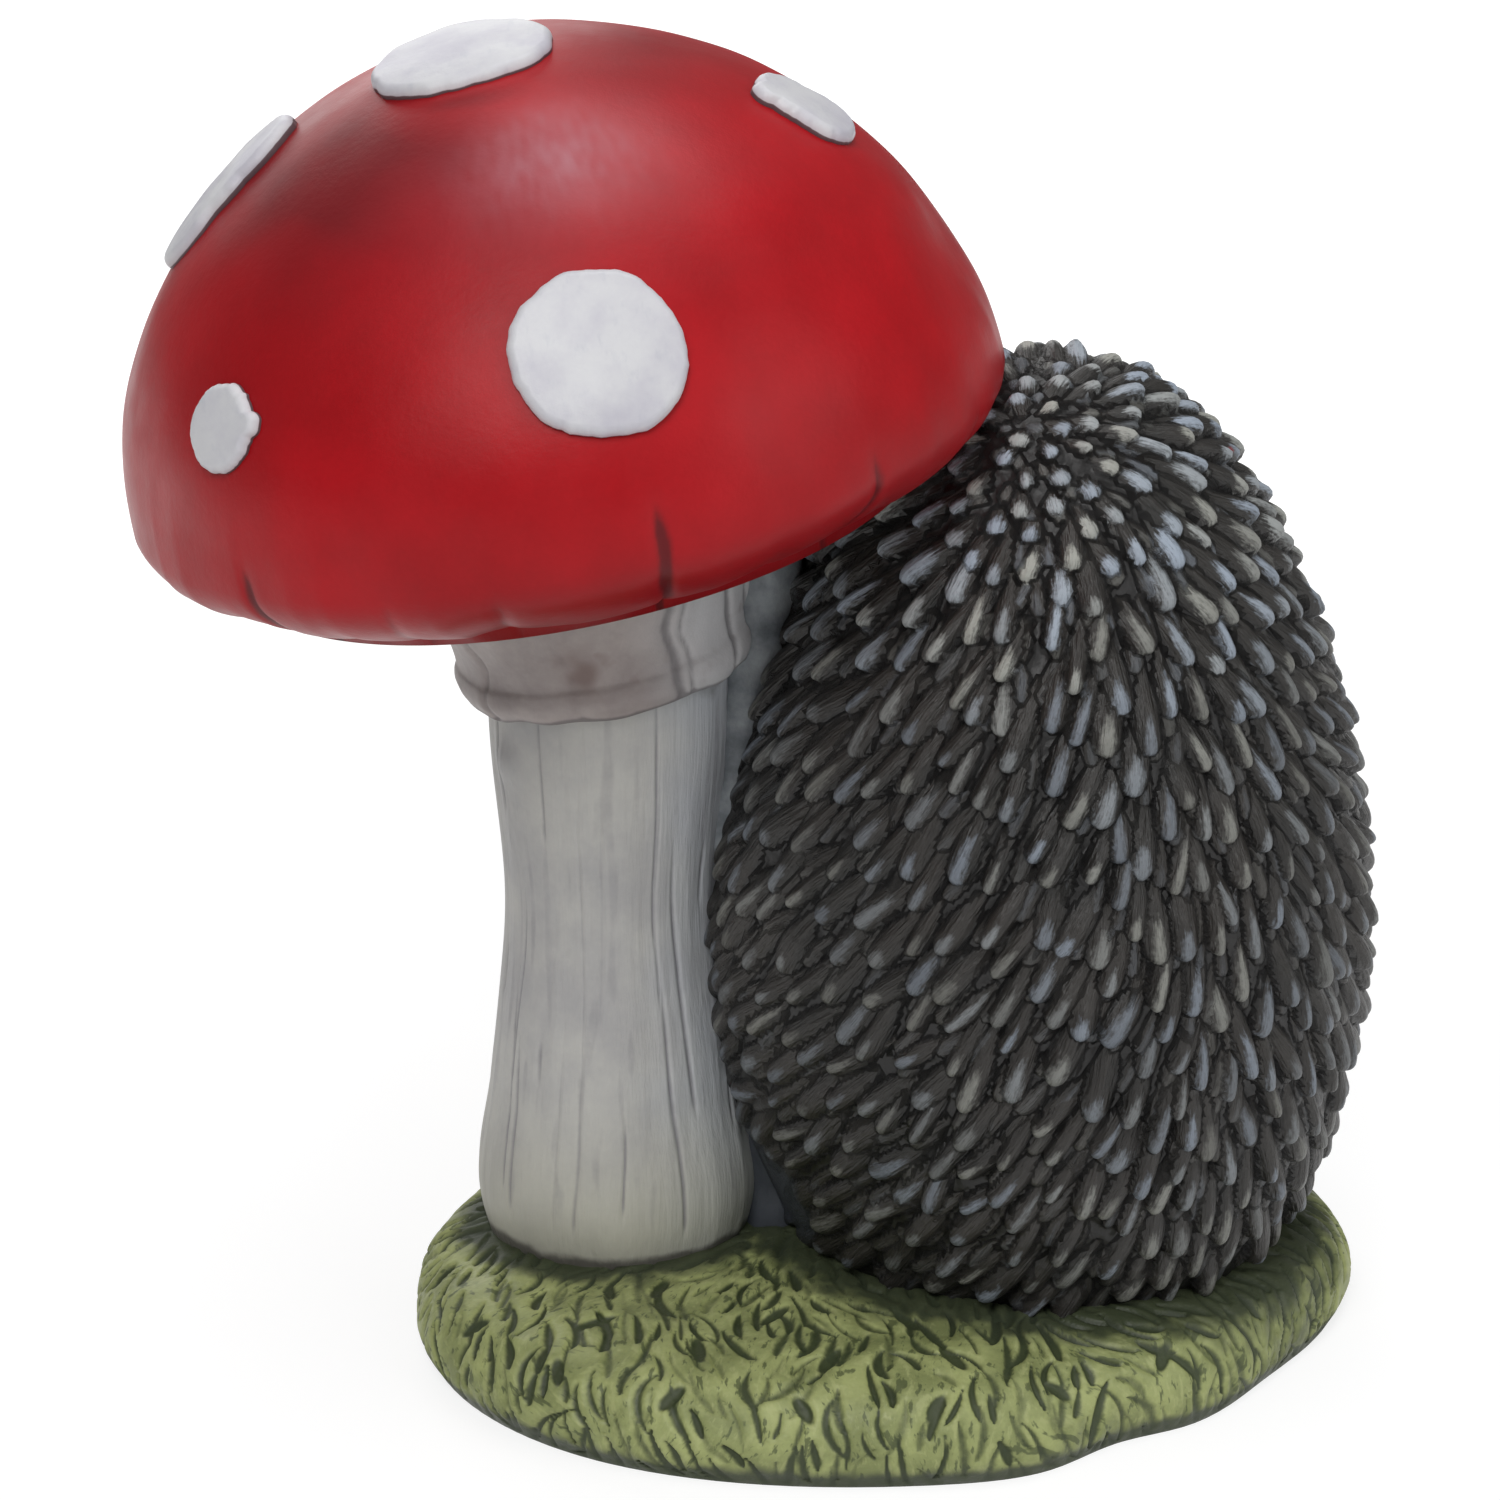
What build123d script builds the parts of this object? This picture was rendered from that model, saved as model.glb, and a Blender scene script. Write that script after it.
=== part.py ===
from build123d import *
import math
import os

# A painted cast resin garden figurine: a hedgehog sits upright beside a spotted toadstool on a
# grassy mound. Lengths are millimetres and angles are degrees. The origin is the middle of the
# mound's footprint on the ground. The toadstool is at -X, the hedgehog at +X, and its face
# looks along +Y, so the side at -Y shows the back of its quill coat.

# Grass mound. Each outline share is a place as a share of half the length and half the width.
base_length = 116.0
base_width = 93.0
base_height = 12.0
outline_shares = [
    (-1.0, 0.0), (-0.93, -0.42), (-0.76, -0.69), (-0.42, -0.92), (-0.1, -1.0), (0.15, -0.98),
    (0.31, -0.88), (0.46, -0.83), (0.68, -0.63), (0.87, -0.4), (1.0, -0.02), (0.94, 0.36),
    (0.72, 0.72), (0.36, 0.94), (-0.06, 1.0), (-0.46, 0.91), (-0.8, 0.62), (-0.96, 0.28),
]
# Each section of the mound is a height share and the share that the outline shrinks to there.
mound_shares = [(0.0, 0.97), (0.25, 1.0), (0.55, 0.985), (0.82, 0.925), (0.95, 0.8), (1.0, 0.6)]

# Grooves between the main tufts of grass, in rings that follow the outline at a share of it.
# Each groove is swung a little from the way out, to one side and then to the other.
groove_ring_shares = [0.945, 0.8, 0.6]
groove_pitch = 15.0
groove_length = 9.5
groove_radius = 1.15
groove_rise = 0.25
groove_swing = 24.0
groove_clearance = 1.5

# Toadstool stem, a turned shape with heights above the ground
stem_x = -32.0
stem_y = 8.3
stem_sole_radius = 14.5
stem_sole_height = 7.0
stem_foot_radius = 17.0
stem_foot_height = 15.0
stem_waist_radius = 13.1
stem_waist_height = 52.0
stem_neck_radius = 14.6
stem_neck_height = 74.0

# Toadstool cap, turned about an axis that leans to -X and a little to -Y
cap_x = -36.9
cap_y = 9.2
cap_height = 108.9
cap_side_lean = 11.6
cap_front_lean = 3.1
cap_radius = 50.8
cap_rise = 45.9
cap_curl_depth = 11.9
cap_curl_radius = 22.9
cap_lip_radius = 39.6
cap_fullness = 1.85
cap_points = 9
gill_floor_depth = 3.4

# Gills under the cap
gill_plate_thickness = 2.4
gill_rib_height = 3.2
gill_rib_thickness = 1.0
gill_rib_count = 36
gill_inner_radius = 22.0
gill_edge_gap = 1.2

# Ring of the stem, below the cap
ring_height = 81.0
ring_edge_radius = 16.6
ring_roll_radius = 18.4
ring_roll_height = 3.6
ring_neck_gain = 0.8
ring_top_radius = 20.2
ring_pleat_radius = 1.4
ring_pleat_count = 11
ring_pleat_share = 0.55

# Raised spots of the cap. Each has an azimuth and a polar angle about the cap's axis, a radius,
# and blobs: places and radii as shares of that radius.
spot_rise = 1.2
spot_edge_radius = 0.9
spot_curve_radius = 44.0
spot_sink = 4.0
round_shares = [(0.0, 0.0, 1.0)]
crown_shares = [(-0.12, 0.0, 0.9), (0.22, 0.05, 0.8)]
front_shares = [(0.0, 0.02, 0.98), (0.13, -0.1, 0.88)]
left_shares = [(0.0, 0.0, 0.95), (0.62, 0.1, 0.42)]
lobed_shares = [(0.0, 0.62, 0.72), (0.06, -0.48, 0.78)]
long_shares = [(0.0, 0.24, 0.8), (0.05, -0.2, 0.86)]
spots = [
    ("cap_spot_crown", -118.0, 8.0, 10.3, crown_shares),
    ("cap_spot_front", -88.7, 65.0, 9.4, front_shares),
    ("cap_spot_left", -144.5, 69.5, 4.9, left_shares),
    ("cap_spot_upper_right", -20.5, 46.5, 6.1, long_shares),
    ("cap_spot_far_left", 171.0, 42.0, 9.0, lobed_shares),
    ("cap_spot_back", 92.0, 60.0, 8.4, front_shares),
    ("cap_spot_back_left", 131.0, 70.0, 4.8, round_shares),
    ("cap_spot_back_right", 48.0, 46.0, 6.0, long_shares),
]

# Hedgehog: the egg that carries the quills, turned about a vertical axis
body_x = 18.0
body_y = 2.0
body_radius = 37.8
body_middle_height = 46.0
body_crown_radius = 24.0
body_top_height = 116.2
body_seat_radius = 26.0
body_seat_height = 6.0

# Front opening of the coat, an ellipse seen along Y, with a flat floor behind the face and belly
opening_half_width = 23.0
opening_half_height = 45.5
opening_middle_height = 57.5
opening_floor = 14.0
belly_inset = 1.6

# Quills of the coat. They keep a distance from one another across the way they run, and along
# it the distance is greater by a ratio. The plastic number spreads the places that are tried.
quill_length = 7.6
quill_crown_length = 5.0
quill_root_width = 2.8
quill_root_thickness = 2.0
quill_root_depth = 0.9
quill_wide_share = 0.7
quill_width = 3.4
quill_thickness = 1.7
quill_tip_width = 1.9
quill_tip_thickness = 1.0
quill_spacing = 3.4
quill_along_share = 1.8
quill_try_count = 5000
quill_lean = 71.0
quill_crown_lean = 48.0
quill_crown_reach = 13.0
quill_clearance = 0.3
plastic_share = 1.32471795724

# Where the quills part, high on the back, as distances from the body's axis and a height, and the
# sweep that bends them round the body: the way it points, and how far from the crown it is as
# strong as the run away from the crown
crown_distance_x = -6.6
crown_distance_y = -12.7
crown_height = 113.3
sweep_turn = 120.0
sweep_reach = 90.0

# Head, turned about the line of the snout, which starts at the opening's floor.
# Each profile share is a radius as a share of the skull's and a distance as a share of the depth.
head_height = 84.0
head_tilt = 5.0
head_skull_radius = 19.6
head_depth = 32.0
head_profile_shares = [(0.99, 0.0), (1.0, 0.16), (0.8, 0.42), (0.47, 0.66), (0.27, 0.86), (0.2, 0.95)]
nose_radius = 3.3
nose_sink = 1.0
eye_radius = 2.5
eye_share = 0.47
eye_spread = 42.0
ear_radius = 5.6
ear_thickness = 3.2
ear_dish_depth = 1.3
ear_spread = 15.5
ear_forward = 21.5
ear_height = 97.5
ear_turn = 28.0

# Arms and feet, drop shapes that end in a hand or a toe
arm_shoulder_radius = 5.6
arm_hand_radius = 4.3
arm_shoulder_spread = 17.5
arm_shoulder_forward = 29.0
arm_shoulder_height = 67.0
arm_hand_spread = 7.0
arm_hand_forward = 37.0
arm_hand_height = 53.0
foot_heel_radius = 6.2
foot_toe_radius = 5.2
foot_spread = 11.5
foot_heel_forward = 27.0
foot_length = 10.5
foot_height = 15.5

# The tools that cut run this far past what they cut.
overrun = 5.0


def save(piece, name):
    piece.part.label = name
    export_step(piece.part, f"parts/{name}.step")


def section_plane(plane):
    """The plane that holds a turned piece's profile, with the turning axis as its second axis."""
    return Plane(plane.origin, x_dir=plane.x_dir, z_dir=-plane.y_dir)


os.makedirs("parts", exist_ok=True)


def mound_outline(share):
    """The mound's uneven oval outline, shrunk to a share of its size."""
    places = [(x * share * base_length / 2, y * share * base_width / 2) for x, y in outline_shares]
    return Edge.make_spline([Vector(*place) for place in places], periodic=True)


# Mound: the outline, lofted through sections that round it off at the top
with BuildPart() as mound:
    for height_share, outline_share in mound_shares:
        with BuildSketch(Plane.XY.offset(height_share * base_height)):
            with BuildLine():
                add(mound_outline(outline_share))
            make_face()
    loft()

# Cap: a full dome with a rim that curls under, and a round recess for the gills
cap_plane = Plane(Location((cap_x, cap_y, cap_height), (cap_front_lean, -cap_side_lean, 0)))
cap_axis = Axis(cap_plane.origin, cap_plane.z_dir)
cap_lip_turn = math.degrees(
    math.acos((cap_lip_radius - cap_curl_radius) / (cap_radius - cap_curl_radius))
)
cap_lip_drop = cap_curl_depth * math.sin(math.radians(cap_lip_turn))


def dome_point(turn):
    """A point of the dome's outline, at a turn in radians from the rim to the crown."""
    power = 2 / cap_fullness
    return (cap_radius * math.cos(turn) ** power, cap_rise * math.sin(turn) ** power)


with BuildPart() as mushroom_cap:
    with BuildSketch(section_plane(cap_plane)):
        with BuildLine():
            Spline(
                *[dome_point(math.pi / 2 * i / cap_points) for i in range(cap_points)],
                (0, cap_rise),
                tangents=[(0, 1), (-1, 0)],
            )
            EllipticalCenterArc(
                (cap_curl_radius, 0),
                cap_radius - cap_curl_radius,
                cap_curl_depth,
                arc_size=-cap_lip_turn,
            )
            Polyline(
                (cap_lip_radius, -cap_lip_drop),
                (cap_lip_radius, -gill_floor_depth),
                (0, -gill_floor_depth),
                (0, cap_rise),
            )
        make_face()
    revolve(axis=cap_axis)
save(mushroom_cap, "mushroom_cap")

# The cap with its recess filled, which cuts what leans against it
with BuildPart() as cap_body:
    add(mushroom_cap.part)
    with BuildSketch(cap_plane.offset(-cap_lip_drop)):
        Circle(cap_lip_radius)
    extrude(amount=cap_lip_drop - gill_floor_depth)

# Stem: a turned shape with a bulbous foot and a waist, cut by the mound below and the cap above
with BuildPart() as mushroom_stem:
    with BuildSketch(Plane.XZ.offset(-stem_y)):
        with BuildLine():
            flank = Spline(
                (stem_x + stem_sole_radius, stem_sole_height),
                (stem_x + stem_foot_radius, stem_foot_height),
                (stem_x + stem_waist_radius, stem_waist_height),
                (stem_x + stem_neck_radius, stem_neck_height),
                (stem_x + stem_neck_radius, cap_height),
            )
            Polyline(flank @ 1, (stem_x, cap_height), (stem_x, stem_sole_height), flank @ 0)
        make_face()
    revolve(axis=Axis((stem_x, stem_y, 0), (0, 0, 1)))
    add(mound.part, mode=Mode.SUBTRACT)
    add(mushroom_cap.part, mode=Mode.SUBTRACT)
save(mushroom_stem, "mushroom_stem")

# Ring of the stem: a collar with a rolled lower edge and pleats, which flares up to the gills
gill_plane = cap_plane.offset(-gill_floor_depth - gill_plate_thickness)
gill_radius = cap_lip_radius - gill_edge_gap
ring_plane = Plane(Location((stem_x, stem_y, ring_height), (cap_front_lean, -cap_side_lean, 0)))
ring_depth = -gill_plane.to_local_coords(ring_plane.origin).Z
with BuildPart() as stem_ring:
    with BuildSketch(section_plane(ring_plane)):
        with BuildLine():
            roll = ThreePointArc(
                (ring_edge_radius, 0),
                (ring_roll_radius, ring_roll_height / 2),
                (ring_edge_radius + ring_neck_gain, ring_roll_height),
            )
            Polyline(roll @ 1, (ring_top_radius, ring_depth), (0, ring_depth), (0, 0), roll @ 0)
        make_face()
    revolve(axis=Axis(ring_plane.origin, ring_plane.z_dir))
    with BuildSketch(ring_plane):
        with PolarLocations(ring_top_radius + ring_pleat_radius * ring_pleat_share, ring_pleat_count):
            Circle(ring_pleat_radius)
    extrude(amount=ring_depth, mode=Mode.SUBTRACT)
    add(mushroom_stem.part, mode=Mode.SUBTRACT)
save(stem_ring, "stem_ring")

# Gills: a plate in the cap's recess with radial ribs below it, round the stem and its ring
with BuildPart() as cap_gills:
    with BuildSketch(gill_plane):
        Circle(cap_lip_radius)
    extrude(amount=gill_plate_thickness)
    with BuildSketch(gill_plane):
        with PolarLocations((gill_inner_radius + gill_radius) / 2, gill_rib_count):
            Rectangle(gill_radius - gill_inner_radius, gill_rib_thickness)
    extrude(amount=-gill_rib_height)
    add(mushroom_stem.part, mode=Mode.SUBTRACT)
    add(stem_ring.part, mode=Mode.SUBTRACT)
save(cap_gills, "cap_gills")


def spot_plane(azimuth, polar):
    """The plane that touches the dome at an azimuth and a polar angle from the crown."""
    turn = math.radians(azimuth)
    outward = cap_plane.x_dir * math.cos(turn) + cap_plane.y_dir * math.sin(turn)
    sideways = cap_plane.y_dir * math.cos(turn) - cap_plane.x_dir * math.sin(turn)
    across = math.sin(math.radians(polar))
    along = math.cos(math.radians(polar))
    closeness = (across / cap_radius) ** cap_fullness + (along / cap_rise) ** cap_fullness
    reach = closeness ** (-1 / cap_fullness)
    seat = cap_plane.origin + outward * (reach * across) + cap_plane.z_dir * (reach * along)
    lean_across = (across / cap_radius) ** (cap_fullness - 1) / cap_radius
    lean_along = (along / cap_rise) ** (cap_fullness - 1) / cap_rise
    normal = outward * lean_across + cap_plane.z_dir * lean_along
    return Plane(seat, x_dir=sideways, z_dir=normal)


# Spots: domed buttons with a rounded edge, merged where a spot has lobes, seated on the dome
for spot_name, azimuth, polar, spot_radius, blob_shares in spots:
    touch = spot_plane(azimuth, polar)
    blob_tops = []
    for side_share, up_share, blob_share in blob_shares:
        centre = touch.from_local_coords((side_share * spot_radius, up_share * spot_radius, 0))
        blob_tops.append((Plane(centre, x_dir=touch.x_dir, z_dir=touch.z_dir), blob_share))
    with BuildPart() as spot:
        for blob_plane, blob_share in blob_tops:
            blob_radius = spot_radius * blob_share
            flat_radius = blob_radius - spot_edge_radius
            fall = spot_curve_radius - math.sqrt(spot_curve_radius**2 - flat_radius**2)
            with BuildSketch(section_plane(blob_plane)):
                with BuildLine():
                    top = ThreePointArc(
                        (0, spot_rise),
                        (flat_radius / 2, spot_rise - fall / 4),
                        (flat_radius, spot_rise - fall),
                    )
                    edge = RadiusArc(
                        top @ 1,
                        (blob_radius, spot_rise - fall - spot_edge_radius),
                        spot_edge_radius,
                    )
                    Polyline(edge @ 1, (blob_radius, -spot_sink), (0, -spot_sink), top @ 0)
                make_face()
            revolve(axis=Axis(blob_plane.origin, blob_plane.z_dir))
        add(mushroom_cap.part, mode=Mode.SUBTRACT)
    save(spot, spot_name)


# Egg of the hedgehog's body: three arcs that meet smoothly, turned about the body's axis. The
# section lies at the front, so the turned faces close inside the coat's opening.
body_plane = Plane((body_x, body_y, 0), x_dir=(0, 1, 0), z_dir=(1, 0, 0))
body_axis = Axis((body_x, body_y, 0), (0, 0, 1))


def egg_arcs(inset):
    """The egg's arcs from the top down, drawn inside its outline by an inset. Each has the lowest
    height that it holds, its middle as a distance from the axis and a height, and its radius."""
    waist = body_radius - inset
    crown_radius = body_crown_radius - inset
    crown_middle = body_top_height - body_crown_radius
    climb = crown_middle - body_middle_height
    flank_radius = (waist**2 + climb**2 - crown_radius**2) / (2 * (waist - crown_radius))
    join_height = crown_middle + crown_radius * climb / (flank_radius - crown_radius)
    drop = body_middle_height - body_seat_height
    fall = body_radius - body_seat_radius
    seat_radius = (drop**2 + fall**2) / (2 * fall)
    return [
        (join_height, 0, crown_middle, crown_radius),
        (body_middle_height, waist - flank_radius, body_middle_height, flank_radius),
        (body_seat_height, waist - seat_radius, body_middle_height, seat_radius),
    ]


def egg_section(inset):
    """Half of the egg's section, drawn inside its outline by an inset."""
    crown_arc, flank_arc, _ = egg_arcs(inset)
    join_height, _, crown_middle, crown_radius = crown_arc
    _, flank_x, flank_height, flank_radius = flank_arc
    climb = join_height - crown_middle
    join = (math.sqrt(crown_radius**2 - climb**2), join_height)
    waist = (flank_x + flank_radius, flank_height)
    seat_edge = (body_seat_radius - inset, body_seat_height)
    with BuildSketch(body_plane) as section:
        with BuildLine():
            TangentArc(waist, seat_edge, tangent=(0, -1))
            TangentArc(waist, join, tangent=(0, 1))
            crown_start = math.degrees(math.atan2(climb, join[0]))
            CenterArc((0, crown_middle), crown_radius, crown_start, 90 - crown_start)
            Polyline((0, crown_middle + crown_radius), (0, body_seat_height), seat_edge)
        make_face()
    return section.sketch


def drop_section(plane, start_radius, end_radius, length):
    """Half of the section of a drop: two round ends on the plane's axis, joined by a line."""
    with BuildSketch(section_plane(plane)) as section:
        with BuildLine():
            CenterArc((0, 0), start_radius, -90, 90)
            Line((start_radius, 0), (end_radius, length))
            CenterArc((0, length), end_radius, 0, 90)
            Line((0, length + end_radius), (0, -start_radius))
        make_face()
    return section.sketch


body_section = egg_section(0)
belly_section = egg_section(belly_inset)

# Opening of the coat: an upright ellipse that runs forward from a flat floor
opening_plane = Plane(
    (body_x, body_y + opening_floor, opening_middle_height), x_dir=(-1, 0, 0), z_dir=(0, 1, 0)
)
with BuildPart() as opening:
    with BuildSketch(opening_plane):
        Ellipse(opening_half_width, opening_half_height)
    extrude(amount=body_radius)

# Core of the coat: the egg, opened for the face and belly and seated on mound, stem and cap
with BuildPart() as coat_core:
    revolve(body_section, axis=body_axis)
    add(opening.part, mode=Mode.SUBTRACT)
    add(mound.part, mode=Mode.SUBTRACT)
    add(mushroom_stem.part, mode=Mode.SUBTRACT)
    add(cap_body.part, mode=Mode.SUBTRACT)

# Places of the ears, arms and feet, which the quills keep clear of. The hedgehog faces +Y, so
# its left side is at -X.
sides = [(-1, "left"), (1, "right")]
ear_centres = {}
arm_ends = {}
foot_ends = {}
limbs = []
for side, side_name in sides:
    ear_centre = Vector(body_x + side * ear_spread, body_y + ear_forward, ear_height)
    shoulder = Vector(
        body_x + side * arm_shoulder_spread, body_y + arm_shoulder_forward, arm_shoulder_height
    )
    hand = Vector(body_x + side * arm_hand_spread, body_y + arm_hand_forward, arm_hand_height)
    heel = Vector(body_x + side * foot_spread, body_y + foot_heel_forward, foot_height)
    toe = heel + Vector(0, foot_length, 0)
    ear_centres[side_name] = ear_centre
    arm_ends[side_name] = (shoulder, hand)
    foot_ends[side_name] = (heel, toe)
    limbs.append((ear_centre, ear_centre + Vector(0, ear_thickness, 0), ear_radius))
    limbs.append((shoulder, hand, arm_shoulder_radius))
    limbs.append((heel, toe, foot_heel_radius))


def quill_form(length):
    """A four-sided spine, widest past its middle, with a blunt tip and its root below the surface."""
    with BuildPart() as form:
        for along, width, thickness in [
            (-quill_root_depth, quill_root_width, quill_root_thickness),
            (length * quill_wide_share, quill_width, quill_thickness),
            (length, quill_tip_width, quill_tip_thickness),
        ]:
            with BuildSketch(Plane.XY.offset(along)):
                with BuildLine():
                    Polyline(
                        (width / 2, 0),
                        (0, thickness / 2),
                        (-width / 2, 0),
                        (0, -thickness / 2),
                        close=True,
                    )
                make_face()
        loft(ruled=True)
    return form.part


crown = Vector(body_x + crown_distance_x, body_y + crown_distance_y, crown_height)
sweep_angle = math.radians(sweep_turn)
sweep = Vector(math.cos(sweep_angle), math.sin(sweep_angle), 0) / sweep_reach
stem_line = [
    (stem_foot_height, stem_foot_radius),
    (stem_waist_height, stem_waist_radius),
    (stem_neck_height, stem_neck_radius),
]


def stem_radius_at(height):
    """The stem's radius at a height, along straight lines between its foot, waist and neck."""
    if height <= stem_foot_height:
        return stem_foot_radius
    for (low, low_radius), (high, high_radius) in zip(stem_line, stem_line[1:]):
        if height <= high:
            return low_radius + (high_radius - low_radius) * (height - low) / (high - low)
    return ring_top_radius


def is_free(point):
    """Whether a quill's point stands clear of the cap, stem, mound, face, ears, arms and feet."""
    margin = quill_width / 2 + quill_clearance
    in_cap = cap_plane.to_local_coords(point)
    cap_distance = math.hypot(in_cap.X, in_cap.Y)
    if in_cap.Z > 0:
        across_share = cap_distance / (cap_radius + margin)
        along_share = in_cap.Z / (cap_rise + margin)
    else:
        rim_width = cap_radius - cap_curl_radius
        across_share = max(0, cap_distance - cap_curl_radius) / (rim_width + margin)
        along_share = -in_cap.Z / (cap_curl_depth + margin)
    if across_share**cap_fullness + along_share**cap_fullness < 1:
        return False
    stem_distance = math.hypot(point.X - stem_x, point.Y - stem_y)
    if stem_distance < stem_radius_at(point.Z) + margin:
        return False
    if point.Y > body_y + opening_floor:
        side_share = (point.X - body_x) / (opening_half_width + margin)
        up_share = (point.Z - opening_middle_height) / (opening_half_height + margin)
        if math.hypot(side_share, up_share) < 1:
            return False
    for start, end, radius in limbs:
        along = (point - start).dot(end - start) / (end - start).length ** 2
        nearest = start + (end - start) * min(1, max(0, along))
        if (point - nearest).length < radius + margin:
            return False
    return point.Z > base_height + margin


def egg_place(height, turn):
    """The egg's surface at a height and a turn about its axis: the point and the way out."""
    _, middle_x, middle_height, radius = next(arc for arc in egg_arcs(0) if height >= arc[0])
    climb = height - middle_height
    reach = math.sqrt(radius**2 - climb**2)
    ray = Vector(math.cos(turn), math.sin(turn), 0)
    outward = (ray * reach + Vector(0, 0, climb)) / radius
    return Vector(body_x, body_y, height) + ray * (middle_x + reach), outward


def quill_flow(seat, outward):
    """The way that a quill runs along the egg: off the crown, and swept round the body."""
    from_crown = seat - crown
    flow = from_crown / from_crown.length**2 + sweep
    return (flow - outward * flow.dot(outward)).normalized()


def quill_plane(seat, outward, flow):
    """The plane that a quill stands on: upright at the crown, and laid down away from it."""
    settled = min(1, (seat - crown).length / quill_crown_reach)
    lean = math.radians(quill_crown_lean + (quill_lean - quill_crown_lean) * settled)
    direction = outward * math.cos(lean) + flow * math.sin(lean)
    return Plane(seat, x_dir=flow.cross(outward), z_dir=direction)


# Quills all over the egg: a place is kept where no quill that is there already stands too near.
# Those at the crown are shorter.
quill_seats = []
quill_planes = {quill_length: [], quill_crown_length: []}
for index in range(1, quill_try_count):
    up_share = index / plastic_share % 1
    turn_share = index / plastic_share**2 % 1
    height = body_seat_height + up_share * (body_top_height - body_seat_height)
    seat, outward = egg_place(height, 2 * math.pi * turn_share)
    flow = quill_flow(seat, outward)
    x, y, z = seat
    flow_x, flow_y, flow_z = flow
    for other_x, other_y, other_z in quill_seats:
        along = (other_x - x) * flow_x + (other_y - y) * flow_y + (other_z - z) * flow_z
        apart = (other_x - x) ** 2 + (other_y - y) ** 2 + (other_z - z) ** 2
        if apart - along**2 * (1 - 1 / quill_along_share**2) < quill_spacing**2:
            break
    else:
        quill_seats.append((x, y, z))
        stand = quill_plane(seat, outward, flow)
        length = quill_crown_length if (seat - crown).length < quill_crown_reach else quill_length
        if all(is_free(seat + stand.z_dir * reach) for reach in (0, length / 2, length)):
            quill_planes[length].append(stand)

# Quill coat: the core with all its quills, fused at once
with BuildPart() as quill_coat:
    add(coat_core.part)
    spines = [
        quill_form(length).moved(stand.location)
        for length, stands in quill_planes.items()
        for stand in stands
    ]
    add(spines)
save(quill_coat, "quill_coat")

# Head: a turned skull that narrows to the snout, seated in the coat's opening
head_plane = Plane(
    (body_x, body_y + opening_floor, head_height),
    x_dir=(1, 0, 0),
    z_dir=(0, math.cos(math.radians(head_tilt)), math.sin(math.radians(head_tilt))),
)
head_axis = Axis(head_plane.origin, head_plane.z_dir)
with BuildPart() as head:
    with BuildSketch(section_plane(head_plane)):
        with BuildLine():
            face_line = Spline(
                *[
                    (across * head_skull_radius, along * head_depth)
                    for across, along in head_profile_shares
                ],
                (0, head_depth),
            )
            Polyline(
                face_line @ 1,
                (0, -overrun),
                ((face_line @ 0).X, -overrun),
                face_line @ 0,
            )
        make_face()
    revolve(axis=head_axis)
    add(coat_core.part, mode=Mode.SUBTRACT)
save(head, "head")

# Nose: a ball on the tip of the snout
nose_plane = head_plane.offset(head_depth - nose_sink)
with BuildPart() as nose:
    with Locations(nose_plane.location):
        Sphere(nose_radius)
    add(head.part, mode=Mode.SUBTRACT)
save(nose, "nose")

# Belly: the front of a smaller egg, which fills the opening below the head
with BuildPart() as belly:
    revolve(belly_section, axis=body_axis)
    add(opening.part, mode=Mode.INTERSECT)
    split(bisect_by=Plane.XY.offset(head_height), keep=Keep.BOTTOM)
    add(mound.part, mode=Mode.SUBTRACT)
    add(head.part, mode=Mode.SUBTRACT)
save(belly, "belly")

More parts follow.
